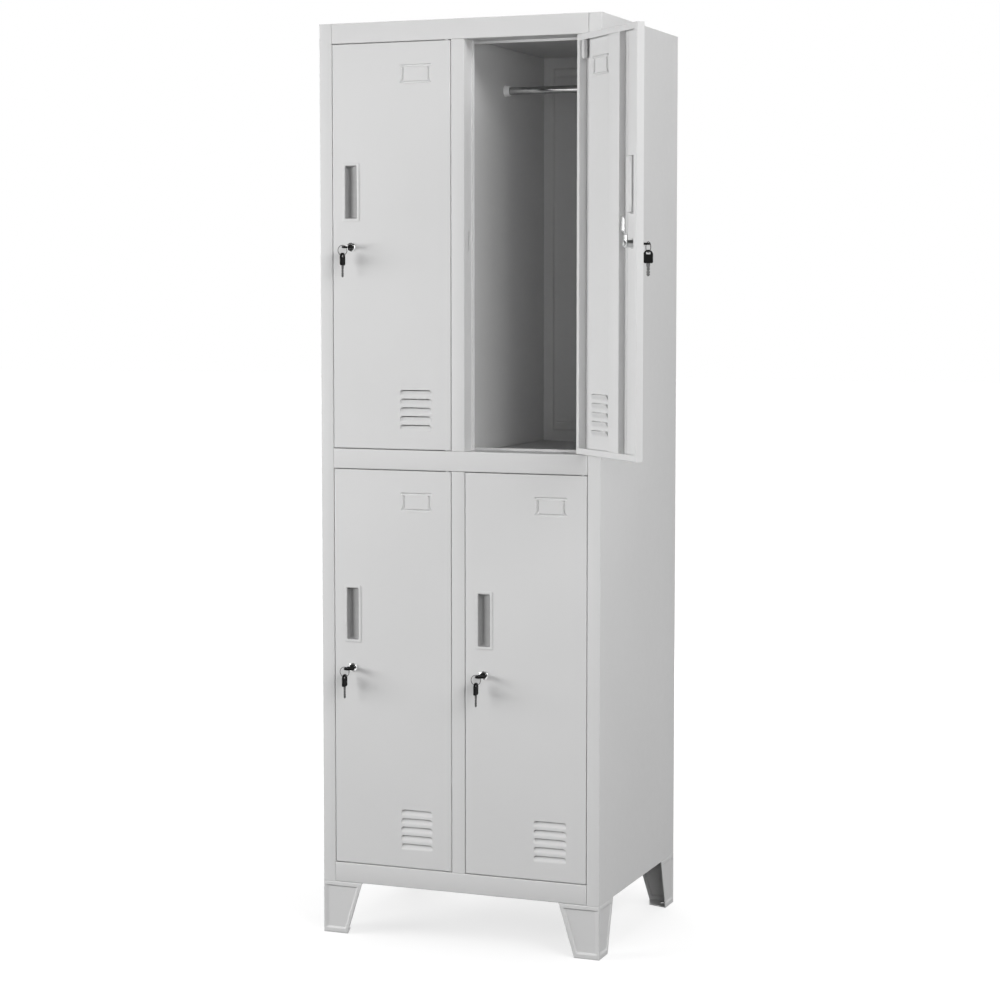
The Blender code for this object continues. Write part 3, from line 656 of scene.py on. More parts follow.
def side_panel(side):
    """A side wall, folded round into the front stile and the back flange."""
    outline = [
        (BACK_FLANGE, DEPTH), (0.0, DEPTH), (0.0, 0.0), *folded_return(STILE),
        (SHEET, SHEET), (SHEET, DEPTH - SHEET), (BACK_FLANGE, DEPTH - SHEET),
    ]
    way = -1 if side == "right" else 1
    outline = [(way * (u - HALF), v) for u, v in outline]
    panel = prism(soften(outline), "Z", LEG_HEIGHT, HEIGHT)

    def trims(one, two, spans):
        """Cuts in the return, between two distances from the middle."""
        near, far = sorted((-way * one, -way * two))
        front, back = 3 * SHEET, 2 * FRAME_RETURN
        return [block((near, front, low), (far, back, high)) for low, high in spans]

    edge = HALF - STILE
    clear = RAIL_LIP + 4 * GAP
    ledges = [
        (0.0, TIERS["lower"] + clear),
        (TIERS["upper"] - RAIL - clear, TIERS["upper"] + clear),
        (HEIGHT - RAIL - clear, 2 * HEIGHT),
    ]
    ends = [(0.0, LEG_HEIGHT + SHEET + GAP), (HEIGHT - SHEET - GAP, 2 * HEIGHT)]
    tools = trims(edge - 2 * FRAME_LIP, edge + 0.1 * GAP, ledges)
    tools += trims(edge - 2 * SHEET, HALF - SHEET, ends)
    if side == "left":
        tools += [keeper_slot(-edge, low) for low in TIERS.values()]
    return cut(panel, *tools)


def partition(tier):
    """The wall between two lockers, with the mullion on its front."""
    low = TIERS[tier] + GAP
    high = TIERS[tier] + OPEN_HEIGHT - GAP
    side = MULLION / 2
    half = SHEET / 2
    right = [*folded_return(side), (half, SHEET), (half, SHELF_BACK)]
    post = prism(soften(mirrored(right)), "Z", low, high)
    behind = RAIL_LEDGE + 2 * SHEET + GAP
    top = high + FLOOR_DROP
    web = block((-half, behind, low - FLOOR_DROP), (half, SHELF_BACK, top))
    wide, deep = side + 2 * FRAME_LIP, RAIL_LEDGE - GAP
    lip = RAIL_LIP + 2 * GAP
    ends = (low, high)
    lips = [block((-wide, deep, z - lip), (wide, behind, z + lip)) for z in ends]
    hole = rod(SOCKET_HOLE, "X", -MULLION, MULLION, (ROD_BACK, rod_z(tier)))
    return cut(join(post, web), *lips, keeper_slot(side, TIERS[tier]), hole)


def blend_in(share):
    """A smooth step from 0 to 1."""
    share = min(max(share, 0.0), 1.0)
    return share * share * (3 - 2 * share)


def grid_faces(wide, tall, kept=None, rim=True):
    """The faces of a sheet between two grids of points, over all or the kept cells.
    Walls close it round them; without a rim, its outer border stays open."""
    if kept is None:
        kept = {(row, column) for row in range(tall - 1) for column in range(wide - 1)}
    walls = (
        ((-1, 0), (0, 0), (0, 1)),
        ((0, 1), (0, 1), (1, 1)),
        ((1, 0), (1, 1), (1, 0)),
        ((0, -1), (1, 0), (0, 0)),
    )
    back = wide * tall
    faces = []
    for row, column in kept:
        first = row * wide + column
        face = (first, first + 1, first + wide + 1, first + wide)
        faces += [face, tuple(i + back for i in face)]
        for step, a, b in walls:
            y, x = row + step[0], column + step[1]
            inside = 0 <= y < tall - 1 and 0 <= x < wide - 1
            if (y, x) not in kept and (inside or rim):
                one, two = ((row + r) * wide + column + c for r, c in (a, b))
                faces.append((one, two, two + back, one + back))
    return faces


def spread(marks):
    """Grid lines over stretches given as (low, high, step)."""
    lines = set()
    for low, high, step in marks:
        count = max(1, round((high - low) / step))
        lines.update(round(low + (high - low) * i / count, 7) for i in range(count + 1))
    return sorted(lines)


def back_panel():
    """One sheet with a pressed field behind each locker."""
    near, far = FIELD_MARGIN, INNER_HALF - FIELD_MARGIN
    fields_x = [(-far, -near), (near, far)]
    edge = FIELD_MARGIN - FLOOR_DROP
    lows = sorted(TIERS.values())
    fields_z = [(low + edge, low + OPEN_HEIGHT - edge) for low in lows]
    bead = 0.019

    def inside(value, fields):
        return max(min(value - a, b - value) for a, b in fields)

    def height(x, z):
        down = inside(z, fields_z)
        deep = min(inside(x, fields_x), down)
        ridge = math.exp(-(((down - bead) / 0.0022) ** 2))
        ridge *= blend_in((deep - 0.006) / 0.008)
        seam = blend_in((-down - 0.0125) / 0.0012)
        field = blend_in(deep / FIELD_SLOPE)
        return -FIELD_DEEP * field + 0.0018 * ridge - 0.0012 * seam

    def lines(fields, low, high):
        """Fine steps near the fields' edges and coarse ones between them."""
        fine, over = 0.036, 0.002
        marks = [(low, fields[0][0] - over, 0.02)]
        ends = [field[0] - over for field in fields[1:]] + [high]
        for (a, b), end in zip(fields, ends):
            marks.append((a - over, a + fine, 0.001))
            marks.append((a + fine, b - fine, 0.03))
            marks.append((b - fine, b + over, 0.001))
            marks.append((b + over, end, 0.02))
        return spread(marks)

    xs = lines(fields_x, -INNER_HALF, INNER_HALF)
    zs = lines(fields_z, LEG_HEIGHT + SHEET + GAP, HEIGHT - SHEET - GAP)
    points = []
    for skin in (BACK_FRONT, BACK_FRONT + SHEET):
        points += [(x, skin + height(x, z), z) for z in zs for x in xs]
    return mesh_of(points, grid_faces(len(xs), len(zs)))


def leg_leaf(mirror):
    """One pressed leaf of a leg: a tapered sheet with a sunk field in it."""
    top = LEG_HEIGHT - GAP
    rows, columns = 90, 64
    points = []
    for skin in (0.0, LEG_SHEET):
        for row in range(rows + 1):
            v = top * row / rows
            wide = LEG_BOTTOM + (LEG_TOP - LEG_BOTTOM) * v / top
            ends = blend_in((v - 0.0085) / 0.0045)
            ends *= blend_in((top - v - 0.0085) / 0.0026)
            seam = 1 - blend_in((top - v) / 0.0022)
            for column in range(columns + 1):
                u = wide * column / columns
                sides = blend_in((u - 0.001) / 0.011)
                sides *= blend_in((wide - u - 0.0065) / 0.0035)
                rolled = 1 - blend_in(min(wide - u, v) / 0.0018)
                out = 0.0024 * sides * ends + 0.0007 * rolled + 0.0011 * seam + skin
                points.append((out, u, v) if mirror else (u, out, v))
    return mesh_of(points, grid_faces(columns + 1, rows + 1))


def leg():
    """A folded leg with its corner at the origin and its leaves along +X and +Y."""
    top = LEG_HEIGHT - GAP
    far = (LEG_PLATE_CORNER, LEG_PLATE_CORNER)
    foot = [(0.0, 0.0), (LEG_BOTTOM, 0.0), far, (0.0, LEG_BOTTOM)]

    def plate(scale, low, high):
        outline = [(u * scale + LEG_INSET, v * scale + LEG_INSET) for u, v in foot]
        return prism(outline, "Z", low, high)

    body = join(
        leg_leaf(False),
        leg_leaf(True),
        plate(1.0, 0.0, LEG_SHEET),
        plate(LEG_TOP / LEG_BOTTOM, top - LEG_SHEET, top),
    )
    hole = rod(LEG_HOLE, "Z", -LEG_SHEET, 2 * LEG_SHEET, (LEG_HOLE_IN, LEG_HOLE_IN))
    edge = cut(
        block((-0.01, -0.01, -0.01), (LEG_EDGE, LEG_EDGE, LEG_HEIGHT + 0.012)),
        rod(LEG_EDGE, "Z", -0.02, LEG_HEIGHT + 0.022, (LEG_EDGE, LEG_EDGE), 40),
    )
    return cut(body, hole, edge)


# ---- clothes rods


def rod_z(tier):
    return TIERS[tier] + OPEN_HEIGHT - ROD_BELOW_RAIL


def clothes_rod():
    start = SHEET / 2 + SOCKET_BASE + 2 * GAP
    end = HALF - SHEET - SOCKET_BASE - 2 * GAP
    outer, inner, chamfer = ROD_RADIUS, ROD_RADIUS - SHEET, 0.0002
    profile = [
        (outer - chamfer, start), (outer, start + chamfer), (outer, end - chamfer),
        (outer - chamfer, end), (inner, end), (inner, start),
    ]
    return turned(profile, "X")


def socket_mouth(face):
    """The outside of a rod socket, from its flange round into its bore."""
    rim, outer = face + SOCKET_THICK, SOCKET_RADIUS
    return [
        (outer - 0.0003, face), (outer, face + 0.0003), (outer, face + 0.0014),
        (outer - 0.0003, face + 0.0019), (outer - 0.0011, face + 0.0023),
        (outer - 0.0014, rim - 0.0007), (outer - 0.0020, rim),
        (ROD_BORE + 0.0003, rim), (ROD_BORE, rim - 0.0003),
        (ROD_BORE, face + SOCKET_BASE),
    ]


def side_socket():
    return turned([(0.0, 0.0), *socket_mouth(0.0), (0.0, SOCKET_BASE)], "X")


def middle_socket():
    face = SHEET / 2 + GAP
    mouth = socket_mouth(face)
    half = [(0.0, face + SOCKET_BASE), *mouth[::-1], (0.005, face)]
    return turned(half + [(radius, -x) for radius, x in half[::-1]], "X")


# ---- doors


def card_groove(x, z):
    """How deep the pressed card frame is at a place on the door."""
    u = x + CARD_FROM_HINGE + CARD_WIDE / 2
    v = z - (DOOR_HEIGHT - CARD_DOWN - CARD_TALL / 2)
    w, h = CARD_WIDE / 2 - 0.0020, CARD_TALL / 2 - 0.0036
    inset, foot = 0.0042, 0.0065
    deep = 0.0
    for side in (-1, 1):
        edge = side * (w - inset)
        flare = side * (w - 0.010)
        corner = side * w, -h + 0.0005
        for a, b, full in (
            ((0.0, h), (side * w, h), 0.0026),
            ((edge, h - 0.0055), (edge, -h + foot), 0.0026),
            ((edge, -h + foot), corner, 0.0024),
            (corner, (flare, -h), 0.0018),
            ((0.0, -h), (flare, -h), 0.0024),
        ):
            du, dv = b[0] - a[0], b[1] - a[1]
            share = ((u - a[0]) * du + (v - a[1]) * dv) / (du * du + dv * dv)
            share = min(max(share, 0.0), 1.0)
            away = math.hypot(u - a[0] - share * du, v - a[1] - share * dv)
            deep = max(deep, full * (1 - blend_in((away - 0.0006) / 0.0024)))
    return deep


def vent_inside(x):
    """How far a place lies inside the nearer end of the air slits."""
    return min(x + VENT_FROM_HINGE + VENT_LENGTH, -VENT_FROM_HINGE - x)


def vent_scoop(x, z):
    """How deep the pressed hoods of the air slits are at a place on the door."""
    across = vent_inside(x)
    for top in VENT_TOPS if across >= 0 else ():
        down = top - z
        if not -1e-6 <= down < VENT_FADE:
            continue
        inside = min(across, down)
        if max(across, down) < VENT_CORNER:
            inside = VENT_CORNER - math.hypot(VENT_CORNER - across, VENT_CORNER - down)
        wall = blend_in(inside / VENT_WALL)
        return VENT_DEEP * wall * (1 - blend_in(down / VENT_FADE))
    return 0.0


def slit_open(x, z):
    below = any(0 < top - z < VENT_GAP for top in VENT_TOPS)
    return below and vent_inside(x) > VENT_CORNER


def door_panel():
    """The folded tray of a door: a pressed face with rolled edges and turned lips."""
    rim, over, fine = 0.004, 0.002, 0.0175
    far = -max(CARD_FROM_HINGE + CARD_WIDE, VENT_FROM_HINGE + VENT_LENGTH) - over
    near = -min(CARD_FROM_HINGE, VENT_FROM_HINGE) + over
    across = [(-DOOR_WIDTH + rim, far, 0.025), (far, far + fine, 0.0005)]
    across += [(far + fine, near - fine, 0.002), (near - fine, near, 0.0005)]
    across.append((near, -rim, 0.02))
    card_top = DOOR_HEIGHT - CARD_DOWN + over
    card_low = card_top - CARD_TALL - 2 * over
    marks = [(rim, VENT_FIRST - VENT_FADE, 0.02), (card_low, card_top, 0.0005)]
    marks.append((card_top, DOOR_HEIGHT - rim, 0.02))
    ends = [top - VENT_FADE for top in VENT_TOPS[1:]] + [card_low]
    for top, after in zip(VENT_TOPS, ends):
        marks.append((top - VENT_FADE, top - VENT_GAP, 0.0008))
        marks.append((top - VENT_GAP, top, VENT_GAP / 3))
        marks.append((top, after, 0.03))
    return door_shell(spread(across), spread(marks), rim)


def held(line, count, value, low, high):
    """A grid line's place between two limits, with the outermost lines on them."""
    if line in (0, count - 1):
        return high if line else low
    return min(max(value, low), high)


def door_shell(xs, zs, rim):
    """The door's face over a grid, with its border carried round into the lips."""
    wide, tall = len(xs), len(zs)
    lip = DOOR_THICK - SHEET
    tight = 0.0006
    folds = (
        ((rim, 0.0), (0.0, 0.0), (0.0, rim * 2), BEND, 6),
        ((0.0, rim * 2), (0.0, DOOR_THICK), (rim * 2, DOOR_THICK), BEND, 6),
        ((rim, DOOR_THICK), (DOOR_LIP, DOOR_THICK), (DOOR_LIP, lip), 0.0002, 1),
        ((DOOR_LIP, DOOR_THICK), (DOOR_LIP, lip), (rim, lip), 0.0002, 1),
        ((rim * 2, lip), (SHEET, lip), (SHEET, rim * 2), tight, 4),
        ((SHEET, rim * 2), (SHEET, SHEET), (rim, SHEET), tight, 4),
    )
    points = []
    for skin in (0.0, SHEET):
        for z in zs:
            for x in xs:
                points.append((x, skin + max(card_groove(x, z), vent_scoop(x, z)), z))
    kept = {
        (row, column)
        for row in range(tall - 1)
        for column in range(wide - 1)
        if not slit_open(sum(xs[column : column + 2]) / 2, sum(zs[row : row + 2]) / 2)
    }
    faces = grid_faces(wide, tall, kept, rim=False)
    border = [(0, c) for c in range(wide)]
    border += [(r, wide - 1) for r in range(1, tall)]
    border += [(tall - 1, c) for c in range(wide - 2, -1, -1)]
    border += [(r, 0) for r in range(tall - 2, 0, -1)]
    front = [r * wide + c for r, c in border]
    loops = [front]
    for inset, deep in (place for fold in folds for place in arc(*fold)):
        loops.append(list(range(len(points), len(points) + len(border))))
        for r, c in border:
            x = held(c, wide, xs[c], -DOOR_WIDTH + inset, -inset)
            z = held(r, tall, zs[r], inset, DOOR_HEIGHT - inset)
            points.append((x, deep, z))
    loops.append([wide * tall + i for i in front])
    for a, b in zip(loops, loops[1:]):
        faces += band(a, b)
    return mesh_of(points, faces)


def door_channel(x, low):
    """The return flange that closes the channel down one side of a door."""
    half, top = SHEET / 2, DOOR_HEIGHT - SHEET - 2 * GAP
    return block((x - half, low, SHEET + 2 * GAP), (x + half, DOOR_THICK - half, top))


def door_holes():
    """The openings for the finger pull, the lock and the hinge pins."""
    around = 2 * (HANDLE_WALL + GAP)
    place = (HANDLE_X, HANDLE_Z)
    pull = rounded(HANDLE_WIDE + around, HANDLE_TALL + around, HANDLE_CORNER, place)
    pivot = (-PIVOT_IN, PIVOT_DEEP)
    top = DOOR_HEIGHT - 2 * SHEET
    return [
        prism(pull, "Y", -SHEET, 2.5 * SHEET),
        rod(LOCK_BODY + 1.5 * GAP, "Y", -SHEET, 2.5 * SHEET, (LOCK_X, LOCK_Z)),
        rod(PIN_HOLE, "Z", -SHEET, 2 * SHEET, pivot, 24),
        rod(PIN_HOLE, "Z", top, DOOR_HEIGHT + SHEET, pivot, 24),
    ]


def bolt_sleeve():
    """The sleeve of the sprung hinge bolt, on its plate in a door's top corner."""
    wall = -DOOR_LIP - GAP
    high = DOOR_HEIGHT - 0.010
    radius, long, thick = 0.0054, 0.032, 0.0012
    end = [(u, high - long - v) for u, v in quarter_round(radius)]
    tube = turned([(0.0, high), (radius, high), *end[:-1], (0.0, end[-1][1])], "Z", 40)
    tube.transform(Matrix.Translation((wall - radius + 0.0002, SLEEVE_DEEP, 0.0)))
    place = (SLEEVE_DEEP, high - 0.0165)
    plate = prism(rounded(0.0115, long, 0.003, place), "X", wall - thick, wall)
    return join(tube, plate)


def stiffener():
    """The hat channel behind a door's face, with thin feet."""
    inner = SHEET + 0.0001
    face = HAT_FACE / 2
    root = face + 0.0018
    inside = [
        (-root - HAT_FOOT, inner), (-root + SHEET, inner),
        (-face + SHEET, HAT_DEEP - SHEET),
    ]
    outside = [
        (-root - HAT_FOOT, inner + 0.0004), (-root, inner + 0.0006), (-face, HAT_DEEP),
    ]
    section = mirrored(inside) + mirrored(outside)[::-1]
    section = [(HAT_CENTRE - DOOR_WIDTH + u, v) for u, v in section]
    ends = SHEET + GAP
    return prism(soften(section), "Z", ends, DOOR_HEIGHT - ends)


def pull_loft(loops):
    """A solid on the finger pull's axis through round-cornered rectangles: each a
    width, height, corner radius, shift across and depth."""
    points = []
    for wide, tall, radius, shift, deep in loops:
        place = (HANDLE_X + shift, HANDLE_Z)
        outline = rounded(wide, tall, min(radius, 0.45 * wide), place)
        points.append([(u, deep, v) for u, v in outline])
    return loft(points)


def handle_cup():
    """The finger pull's slim rim and boxed cup, with the slots of its clips."""
    rim, wall = 2 * HANDLE_RIM, 2 * HANDLE_WALL
    face = -GAP - 0.0006
    floor, corner = HANDLE_DEEP + HANDLE_WALL, HANDLE_CORNER
    sizes = (
        (-0.006, corner, floor), (-0.0035, corner, floor - 0.0004),
        (-0.002, corner, floor - 0.0016), (wall, corner, SHEET), (wall, corner, -GAP),
        (rim, corner, -GAP), (rim - 0.0002, corner, face + 0.0002),
        (rim - 0.0010, 0.0028, face), (0.0014, 0.0028, face),
        (0.0004, 0.0024, face + 0.0002), (0.0, 0.0022, face + 0.0008),
        (-0.0030, 0.0018, HANDLE_DEEP),
    )
    cup = pull_loft(
        [(HANDLE_WIDE + d, HANDLE_TALL + d, radius, 0.0, y) for d, radius, y in sizes]
    )
    u, half, deep = HANDLE_X - 0.0075, 0.0022, floor - 0.0006
    clips = []
    for side in (-1, 1):
        v = HANDLE_Z + side * (HANDLE_TALL / 2 - 0.0085)
        low, high = (u - half, deep, v - 0.005), (u + half, floor + 0.01, v + 0.005)
        clips.append(block(low, high))
    return cut(cup, *clips)


def painted_shade_in_cup():
    """A dark sheet in the cup that paints the shade of its recess, deepest behind the
    free edge's side.
    """
    wide, tall = HANDLE_WIDE - 0.0002, HANDLE_TALL - 0.0002
    top = 0.0004 - GAP
    bottom = HANDLE_DEEP - 0.0001
    sizes = (
        (0.0034, 0.0016, bottom), (0.0002, 0.0020, top + 0.0002), (0.0006, 0.0020, top),
        (0.0016, 0.0018, top), (0.0020, 0.0018, top + 0.0002),
    )
    loops = [(wide - d, tall - d, radius, 0.0, y) for d, radius, y in sizes]
    for share in (step / 12 for step in range(13)):
        deep = top + 0.0012 + (bottom - 0.0024 - top) * share**0.85
        narrow = 0.80 * (wide - 0.0030) * share
        short = 0.0022 + 0.0050 * share
        loops.append((wide - 0.0024 - narrow, tall - short, 0.0016, -narrow / 2, deep))
    return pull_loft(loops)


def lock_bezel():
    """The bezel on the door's face, with its short neck through the door."""
    front, back = -GAP - LOCK_PROUD, SHEET + GAP + NUT_THICK
    soft = 0.0014
    profile = [
        (LOCK_BORE, front + 0.0007), (LOCK_BORE + 0.0004, front + 0.0002),
        (LOCK_BORE + 0.0009, front),
    ]
    for v, u in quarter_round(soft):
        profile.append((LOCK_BEZEL - soft + u, front + soft - v))
    profile += [(LOCK_BEZEL, -GAP), (LOCK_BODY, -GAP), (LOCK_BODY, back)]
    return turned([*profile, (LOCK_BORE, back)], "Y", 72)


def lock_housing():
    """The threaded housing behind the nut."""
    start, end = SHEET + GAP + NUT_THICK + 0.0001, LOCK_LONG - 0.0006
    root = LOCK_BODY - 0.0004
    turns = 14
    pitch = (end - start) / turns
    profile = [(LOCK_BORE, start), (root, start)]
    for i in range(turns):
        profile.append((LOCK_BODY, start + pitch * (i + 0.25)))
        profile.append((root, start + pitch * (i + 0.75)))
    return turned([*profile, (root, LOCK_LONG), (LOCK_BORE, LOCK_LONG)], "Y", 72)


def lock_nut():
    """The hexagon nut that holds the lock in its door."""
    low, high = SHEET + GAP, SHEET + GAP + NUT_THICK
    hole = rod(LOCK_BODY + 0.0001, "Y", low - SHEET, high + SHEET, segments=64)
    return eased(cut(rod(NUT_RADIUS, "Y", low, high, segments=6), hole), angle=50)


def lock_plug():
    """The plug with its keyway."""
    front, back = 2 * GAP - LOCK_PROUD, LOCK_LONG + 0.5 * GAP
    profile = [
        (0.0, front), (PLUG_RADIUS - GAP, front), (PLUG_RADIUS, front + GAP),
        (PLUG_RADIUS, back), (0.0, back),
    ]
    wide, high = KEY_BLADE + GAP, BLADE_THICK / 2 + GAP
    end = KEY_LONG - KEY_OUT + 2 * GAP
    keyway = block((-wide, -2 * LOCK_PROUD, -high), (wide, end, high))
    return cut(turned(profile, "Y"), keyway)


def lock_cam():
    """The cranked cam."""
    start = LOCK_LONG + GAP
    tip = start + CAM_CRANK
    bend, slope = 0.016, 0.008
    side = [
        (start, -CAM_HALF), (start, bend), (tip, bend + slope), (tip, CAM_REACH),
        (tip + CAM_THICK, CAM_REACH), (tip + CAM_THICK, bend + slope),
        (start + CAM_THICK, bend), (start + CAM_THICK, -CAM_HALF),
    ]
    strip = soften(side, 0.003, 0.0003, 5, CAM_THICK)
    tall = CAM_REACH + CAM_HALF
    face = rounded(2 * CAM_HALF, tall, 0.8 * CAM_HALF, (0.0, CAM_REACH - tall / 2), 10)
    outline = prism(face, "Y", start - SHEET, start + 2 * CAM_CRANK)
    arm = prism(strip, "X", -2 * CAM_HALF, 2 * CAM_HALF)
    return eased(combine(arm, [outline], "INTERSECT"))


def cam_bolt():
    """The cam's bolt, with a cross slot."""
    start = LOCK_LONG + GAP + CAM_THICK
    disc = [(0.0, 0.0), (0.0062, 0.0), (0.0062, 0.0006)]
    head = [(0.0046, 0.0007), (0.0046, 0.0024), (0.0040, 0.0030), (0.0, 0.0031)]
    profile = [(radius, start + height) for radius, height in disc + head]
    low, high = start + 0.0016, start + 0.005
    cross = ((0.0032, 0.0004), (0.0004, 0.0032))
    slots = [block((-u, low, -v), (u, high, v)) for u, v in cross]
    return cut(turned(profile, "Y"), *slots)


def key_bow():
    """The black grip, with its round end at y 0 and the blade's side along +Y."""
    spokes = [polar(KEY_BOW, math.pi + math.pi * step / 32) for step in range(33)]
    bow = [(u, KEY_BOW + v) for u, v in spokes]
    shoulder = [
        (KEY_BOW - 0.0003, 0.016), (KEY_BOW, KEY_BOW_LONG - 0.0022),
        (KEY_BOW - 0.0012, KEY_BOW_LONG - 0.0008), (0.0066, KEY_BOW_LONG),
    ]
    bow += mirrored(shoulder)
    flat = KEY_SLOT_HALF - KEY_SLOT_RADIUS
    slot = []
    for side in (1, -1):
        for step in range(13):
            u, v = polar(KEY_SLOT_RADIUS, math.pi * step / 12 - math.pi / 2)
            slot.append((side * (flat + u), KEY_SLOT_AT + side * v))
    half = KEY_THICK / 2
    grip = cut(prism(bow, "Z", -half, half), prism(slot, "Z", -KEY_THICK, KEY_THICK))
    face = rounded(2 * KEY_BOW - 0.0054, 0.0105, 0.002, (0.0, 0.0168))
    sunk = half - 0.0003
    front, back = prism(face, "Z", sunk, KEY_THICK), prism(face, "Z", -KEY_THICK, -sunk)
    return cut(eased(grip, 0.0007, 3, 50), front, back)


def key_blade():
    """The blade, with milled grooves and cut wards along both edges."""
    start, end = KEY_BOW_LONG - 0.003, KEY_LONG
    wide, tip, half = KEY_BLADE, 0.8 * KEY_BLADE, BLADE_THICK / 2
    edge = [(wide, start), (wide, KEY_BOW_LONG + 0.004)]
    at = KEY_BOW_LONG + 0.0055
    for ward in (0.0006, 0.0014, 0.0009, 0.0017, 0.0005, 0.0012):
        edge += [(wide - ward, at), (wide - ward, at + 0.0009)]
        edge.append((wide - 0.0002, at + 0.0018))
        at += 0.0026
    edge += [(tip, end - 0.0022), (0.45 * tip, end - 0.0003), (0.15 * tip, end)]
    near, far, deep = 0.0004, 0.0014, half - 0.0005
    low, high = start - SHEET, end + SHEET
    return cut(
        prism(mirrored(edge), "Z", -half, half),
        block((-far, low, deep), (-near, high, 0.01)),
        block((near, low, -0.01), (far, high, -deep)),
    )


def key_ring():
    """A closed ring of slightly flattened wire."""
    sides, segments = 14, 96
    loops = []
    for i in range(segments):
        loop = []
        for a in (2 * math.pi * j / sides for j in range(sides)):
            flat = 0.86 if abs(math.cos(a)) > 0.5 else 1.0
            out, side = polar(RING_WIRE, a)
            x, z = polar(RING_RADIUS + out * flat, 2 * math.pi * i / segments)
            loop.append((x, side, z))
        loops.append(loop)
    return loft(loops, closed=True)


# ---- assembly


def build_carcass():
    body, powder, moulded = "cabinet", "powder_coat", "grey_plastic"
    makers = (top_panel, middle_shelf, base_panel, back_panel)
    sheets = {make.__name__: make() for make in makers}
    sheets |= {f"{side}_side_panel": side_panel(side) for side in COLUMNS}
    sheets |= {f"{tier}_partition": partition(tier) for tier in TIERS}
    for node, mesh in sheets.items():
        show(f"sheet_{node}", mesh, PAINT, body, powder, node)

    pressed = leg()
    corners = ("front_left", "front_right", "rear_right", "rear_left")
    for quarter, corner in enumerate(corners):
        x = HALF if "right" in corner else -HALF
        y = DEPTH if "rear" in corner else 0.0
        turn = Matrix.Rotation(quarter * math.pi / 2, 4, "Z")
        at = CABINET @ Matrix.Translation((x, y, 0)) @ turn
        node = f"{corner}_leg"
        show(f"pressed_{node}", pressed, PAINT, body, powder, node, at)

    tube, cup, double = clothes_rod(), side_socket(), middle_socket()
    ahead, half_turn = Matrix.Identity(4), Matrix.Rotation(math.pi, 4, "Z")
    wall = HALF - SHEET - GAP
    for tier in TIERS:
        at = CABINET @ Matrix.Translation((0, ROD_BACK, rod_z(tier)))
        node = f"{tier}_middle_socket"
        show(f"moulded_{node}", double, SOCKET, body, moulded, node, at)
        for side, x, out, back in (
            ("left", -wall, half_turn, ahead),
            ("right", wall, ahead, half_turn),
        ):
            node = f"{tier}_{side}_rod"
            show(f"plated_{node}", tube, DARKENED_ROD_CHROME, body, "chrome", node, at @ out)
            end = at @ Matrix.Translation((x, 0, 0)) @ back
            node = f"{tier}_{side}_socket"
            show(f"moulded_{node}", cup, SOCKET, body, moulded, node, end)


def build_doors():
    panel = cut(door_panel(), *door_holes())
    free, hinged = DOOR_LIP - DOOR_WIDTH - SHEET / 2, SHEET / 2 - DOOR_LIP
    panel = join(panel, door_channel(free, 3 * SHEET), door_channel(hinged, SHEET / 2))
    bow, blade = key_bow(), key_blade()
    powder, zinc, moulded = "powder_coat", "zinc_steel", "grey_plastic"
    on_door = (
        ("tray", panel, PAINT, powder, "door"),
        ("hat", stiffener(), PAINT, powder, "stiffener"),
        ("bolt_sleeve", bolt_sleeve(), PAINT, powder, None),
        ("recess", handle_cup(), RECESS, moulded, "handle"),
        # The dark sheet in the handle's cup paints the shade of the recess.
        ("liner", painted_shade_in_cup(), CUP_SHADE_PAINT, moulded, None),
    )
    round_lock = (
        ("bezel", lock_bezel(), CHROME, "chrome", "lock_barrel"),
        ("housing", lock_housing(), ZINC, zinc, None),
        ("nut", lock_nut(), ZINC, zinc, None),
    )
    in_lock = (
        ("cam", lock_cam(), ZINC, zinc, "lock_cam"),
        ("cam_bolt", cam_bolt(), ZINC, zinc, None),
        ("plug", lock_plug(), CHROME, zinc, None),
    )
    key = (("bow", bow, BLACK, "key", "key"), ("blade", blade, STEEL, zinc, None))
    ring = (("wire_ring", key_ring(), STEEL, zinc, "key_ring", 80),)
    spare = (
        ("spare_bow", bow, BLACK, "key", "spare_key"),
        ("spare_blade", blade, STEEL, zinc, None),
    )
    hung = KEY_SLOT_AT - KEY_SLOT_RADIUS + RING_WIRE + GAP - RING_RADIUS - RING_DROP
    hang = Matrix(((0, 0, -1), (1, 0, 0), (0, -1, 0))).to_4x4()
    place = Matrix.Translation
    joints = {joint["name"]: joint for joint in frame["joints"]}
    for name in (f"{tier}_{side}" for tier in TIERS for side in COLUMNS):
        x, y, _ = joints[f"{name}_door_hinge"]["pos_m"]
        z = TIERS[name.split("_")[0]] + DOOR_GAP
        axis = joints[f"{name}_lock_turn"]["axis"]
        angle = math.atan2(axis[0], -axis[1])
        door = place((x, y, z)) @ Matrix.Rotation(angle, 4, "Z")
        door = door @ place((PIVOT_IN, -PIVOT_DEEP, 0))
        lock = door @ place((LOCK_X, 0, LOCK_Z))
        swing = lock @ place(RING_PIVOT)
        for body, at, rows in (
            ("door_body", door, on_door),
            ("door_body", lock, round_lock),
            ("lock_body", lock, in_lock),
            ("lock_body", lock @ place((0, -KEY_OUT, 0)), key),
            ("ring_body", swing @ place((0, 0, -RING_DROP)), ring),
            ("ring_body", swing @ place((0, 0, hung)) @ hang, spare),
        ):
            for piece, mesh, material, slot, node, *sharp in rows:
                piece, on = f"{name}_{piece}", f"{name}_{body}"
                node = node and f"{name}_{node}"
                show(piece, mesh, material, on, slot, node, at, *sharp)


def dress_pins():
    """The hinge pins keep their CAD shape, in zinc plate."""
    for name, node in frame["nodes"].items():
        if name.endswith("hinge_pin"):
            node.data.materials.clear()
            node.data.materials.append(ZINC)


# ---- stage

FLOOR_HALF = 30.0
SKY = 0.50
BOX_AWAY = 4.0
BOX_SIZE = (3.0, 1.2)
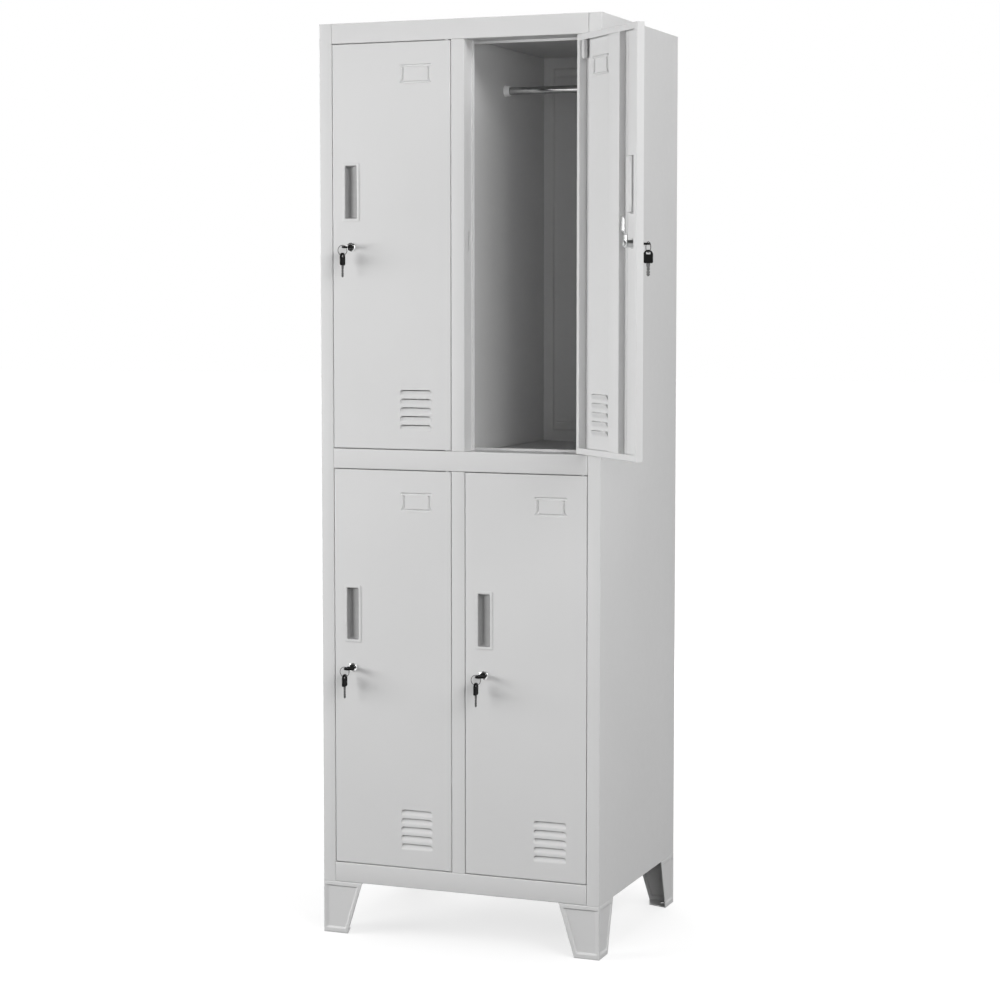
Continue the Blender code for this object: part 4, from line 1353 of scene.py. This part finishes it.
# Direction in degrees, height and power of each soft box round the cabinet.
SOFT_BOXES = (
    (-150, 1.4, 139.0),
    (-170, 1.4, 30.0),
    (-90, 1.4, 11.0),
    (-50, 1.4, 61.0),
    (-30, 3.4, 126.0),
    (40, 3.0, 27.0),
    (105, 2.0, 66.0),
)
OVERHEAD_SIZE = 2.0
OVERHEAD_POWER = 45.0
OVERHEAD_AT = (0.0, 0.3, 5.0)
LENS = 86.056
SENSOR = 36.0
SHIFT = -0.027
YAW = 21.432
PITCH = 4.333
EYE = (2.1089 - HALF, -4.3794, 1.3153)

def build_floor():
    """A floor that glows white and isn't seen by the light that bounces."""
    corners = [(-1, -1), (1, -1), (1, 1), (-1, 1)]
    points = [(FLOOR_HALF * x, FLOOR_HALF * y, 0.0) for x, y in corners]
    floor = linked("floor", mesh_of(points, [(0, 1, 2, 3)]))
    material = bpy.data.materials.new("floor_white")
    n = Nodes(material, "Principled BSDF")
    n.link("Base Color", n.tint(n.noise(1.5, 2.0), grey(0.30), grey(0.31)))
    place = {"Vector": n.coordinates["Object"]}
    away = n.add("ShaderNodeVectorMath", links=place, operation="LENGTH")
    n.link("Emission Strength", n.stretch(away, 0.72, 1.0, 0.6, 3.0))
    n.set(Roughness=0.9, Specular_IOR_Level=0.05, Emission_Color=(1.0, 1.0, 1.0, 1.0))
    floor.data.materials.append(material)
    floor.visible_diffuse = False


def build_world():
    """A sky that lights from behind and above, and is white in the picture."""
    world = bpy.data.worlds.new("studio")
    bpy.context.scene.world = world
    n = Nodes(world, "Background")
    n.set(Color=(1.0, 1.0, 1.0, 1.0))
    way = {"Vector": n.coordinates["Generated"]}
    parts = n.add("ShaderNodeSeparateXYZ", links=way).node.outputs
    behind = n.maths("MULTIPLY", n.maths("MAXIMUM", parts["Y"], 0.0), SKY)
    glow = n.maths("MULTIPLY", n.maths("GREATER_THAN", parts["Z"], 0.0), behind)
    seen = n.add("ShaderNodeLightPath").node.outputs["Is Camera Ray"]
    n.link("Strength", n.maths("MAXIMUM", glow, seen))


def build_lights():
    """Soft boxes round the cabinet, aimed at its middle, and one overhead."""
    for azimuth, height, power in SOFT_BOXES:
        light = bpy.data.lights.new("soft_box", "AREA")
        light.shape = "RECTANGLE"
        light.size, light.size_y = BOX_SIZE
        light.energy = power
        box = linked("soft_box", light)
        box.location = (*polar(BOX_AWAY, math.radians(azimuth)), height)
        aim = Vector((0, 0, 1)) - box.location
        box.rotation_euler = aim.to_track_quat("-Z", "Y").to_euler()
    light = bpy.data.lights.new("overhead", "AREA")
    light.size = OVERHEAD_SIZE
    light.energy = OVERHEAD_POWER
    linked("overhead", light).location = OVERHEAD_AT


def build_camera():
    """A view from the right and from a little above the middle."""
    data = bpy.data.cameras.new("camera")
    data.lens = LENS
    data.sensor_width = SENSOR
    data.shift_y = SHIFT
    data.clip_end = 100.0
    camera = linked("camera", data)
    camera.location = CABINET @ Vector(EYE)
    tilt = math.pi / 2 - math.radians(PITCH)
    camera.rotation_euler = (tilt, 0.0, math.radians(YAW))
    bpy.context.scene.camera = camera
    bpy.context.scene.view_settings.view_transform = "Standard"


build_carcass()
build_doors()
dress_pins()
build_floor()
build_world()
build_lights()
build_camera()
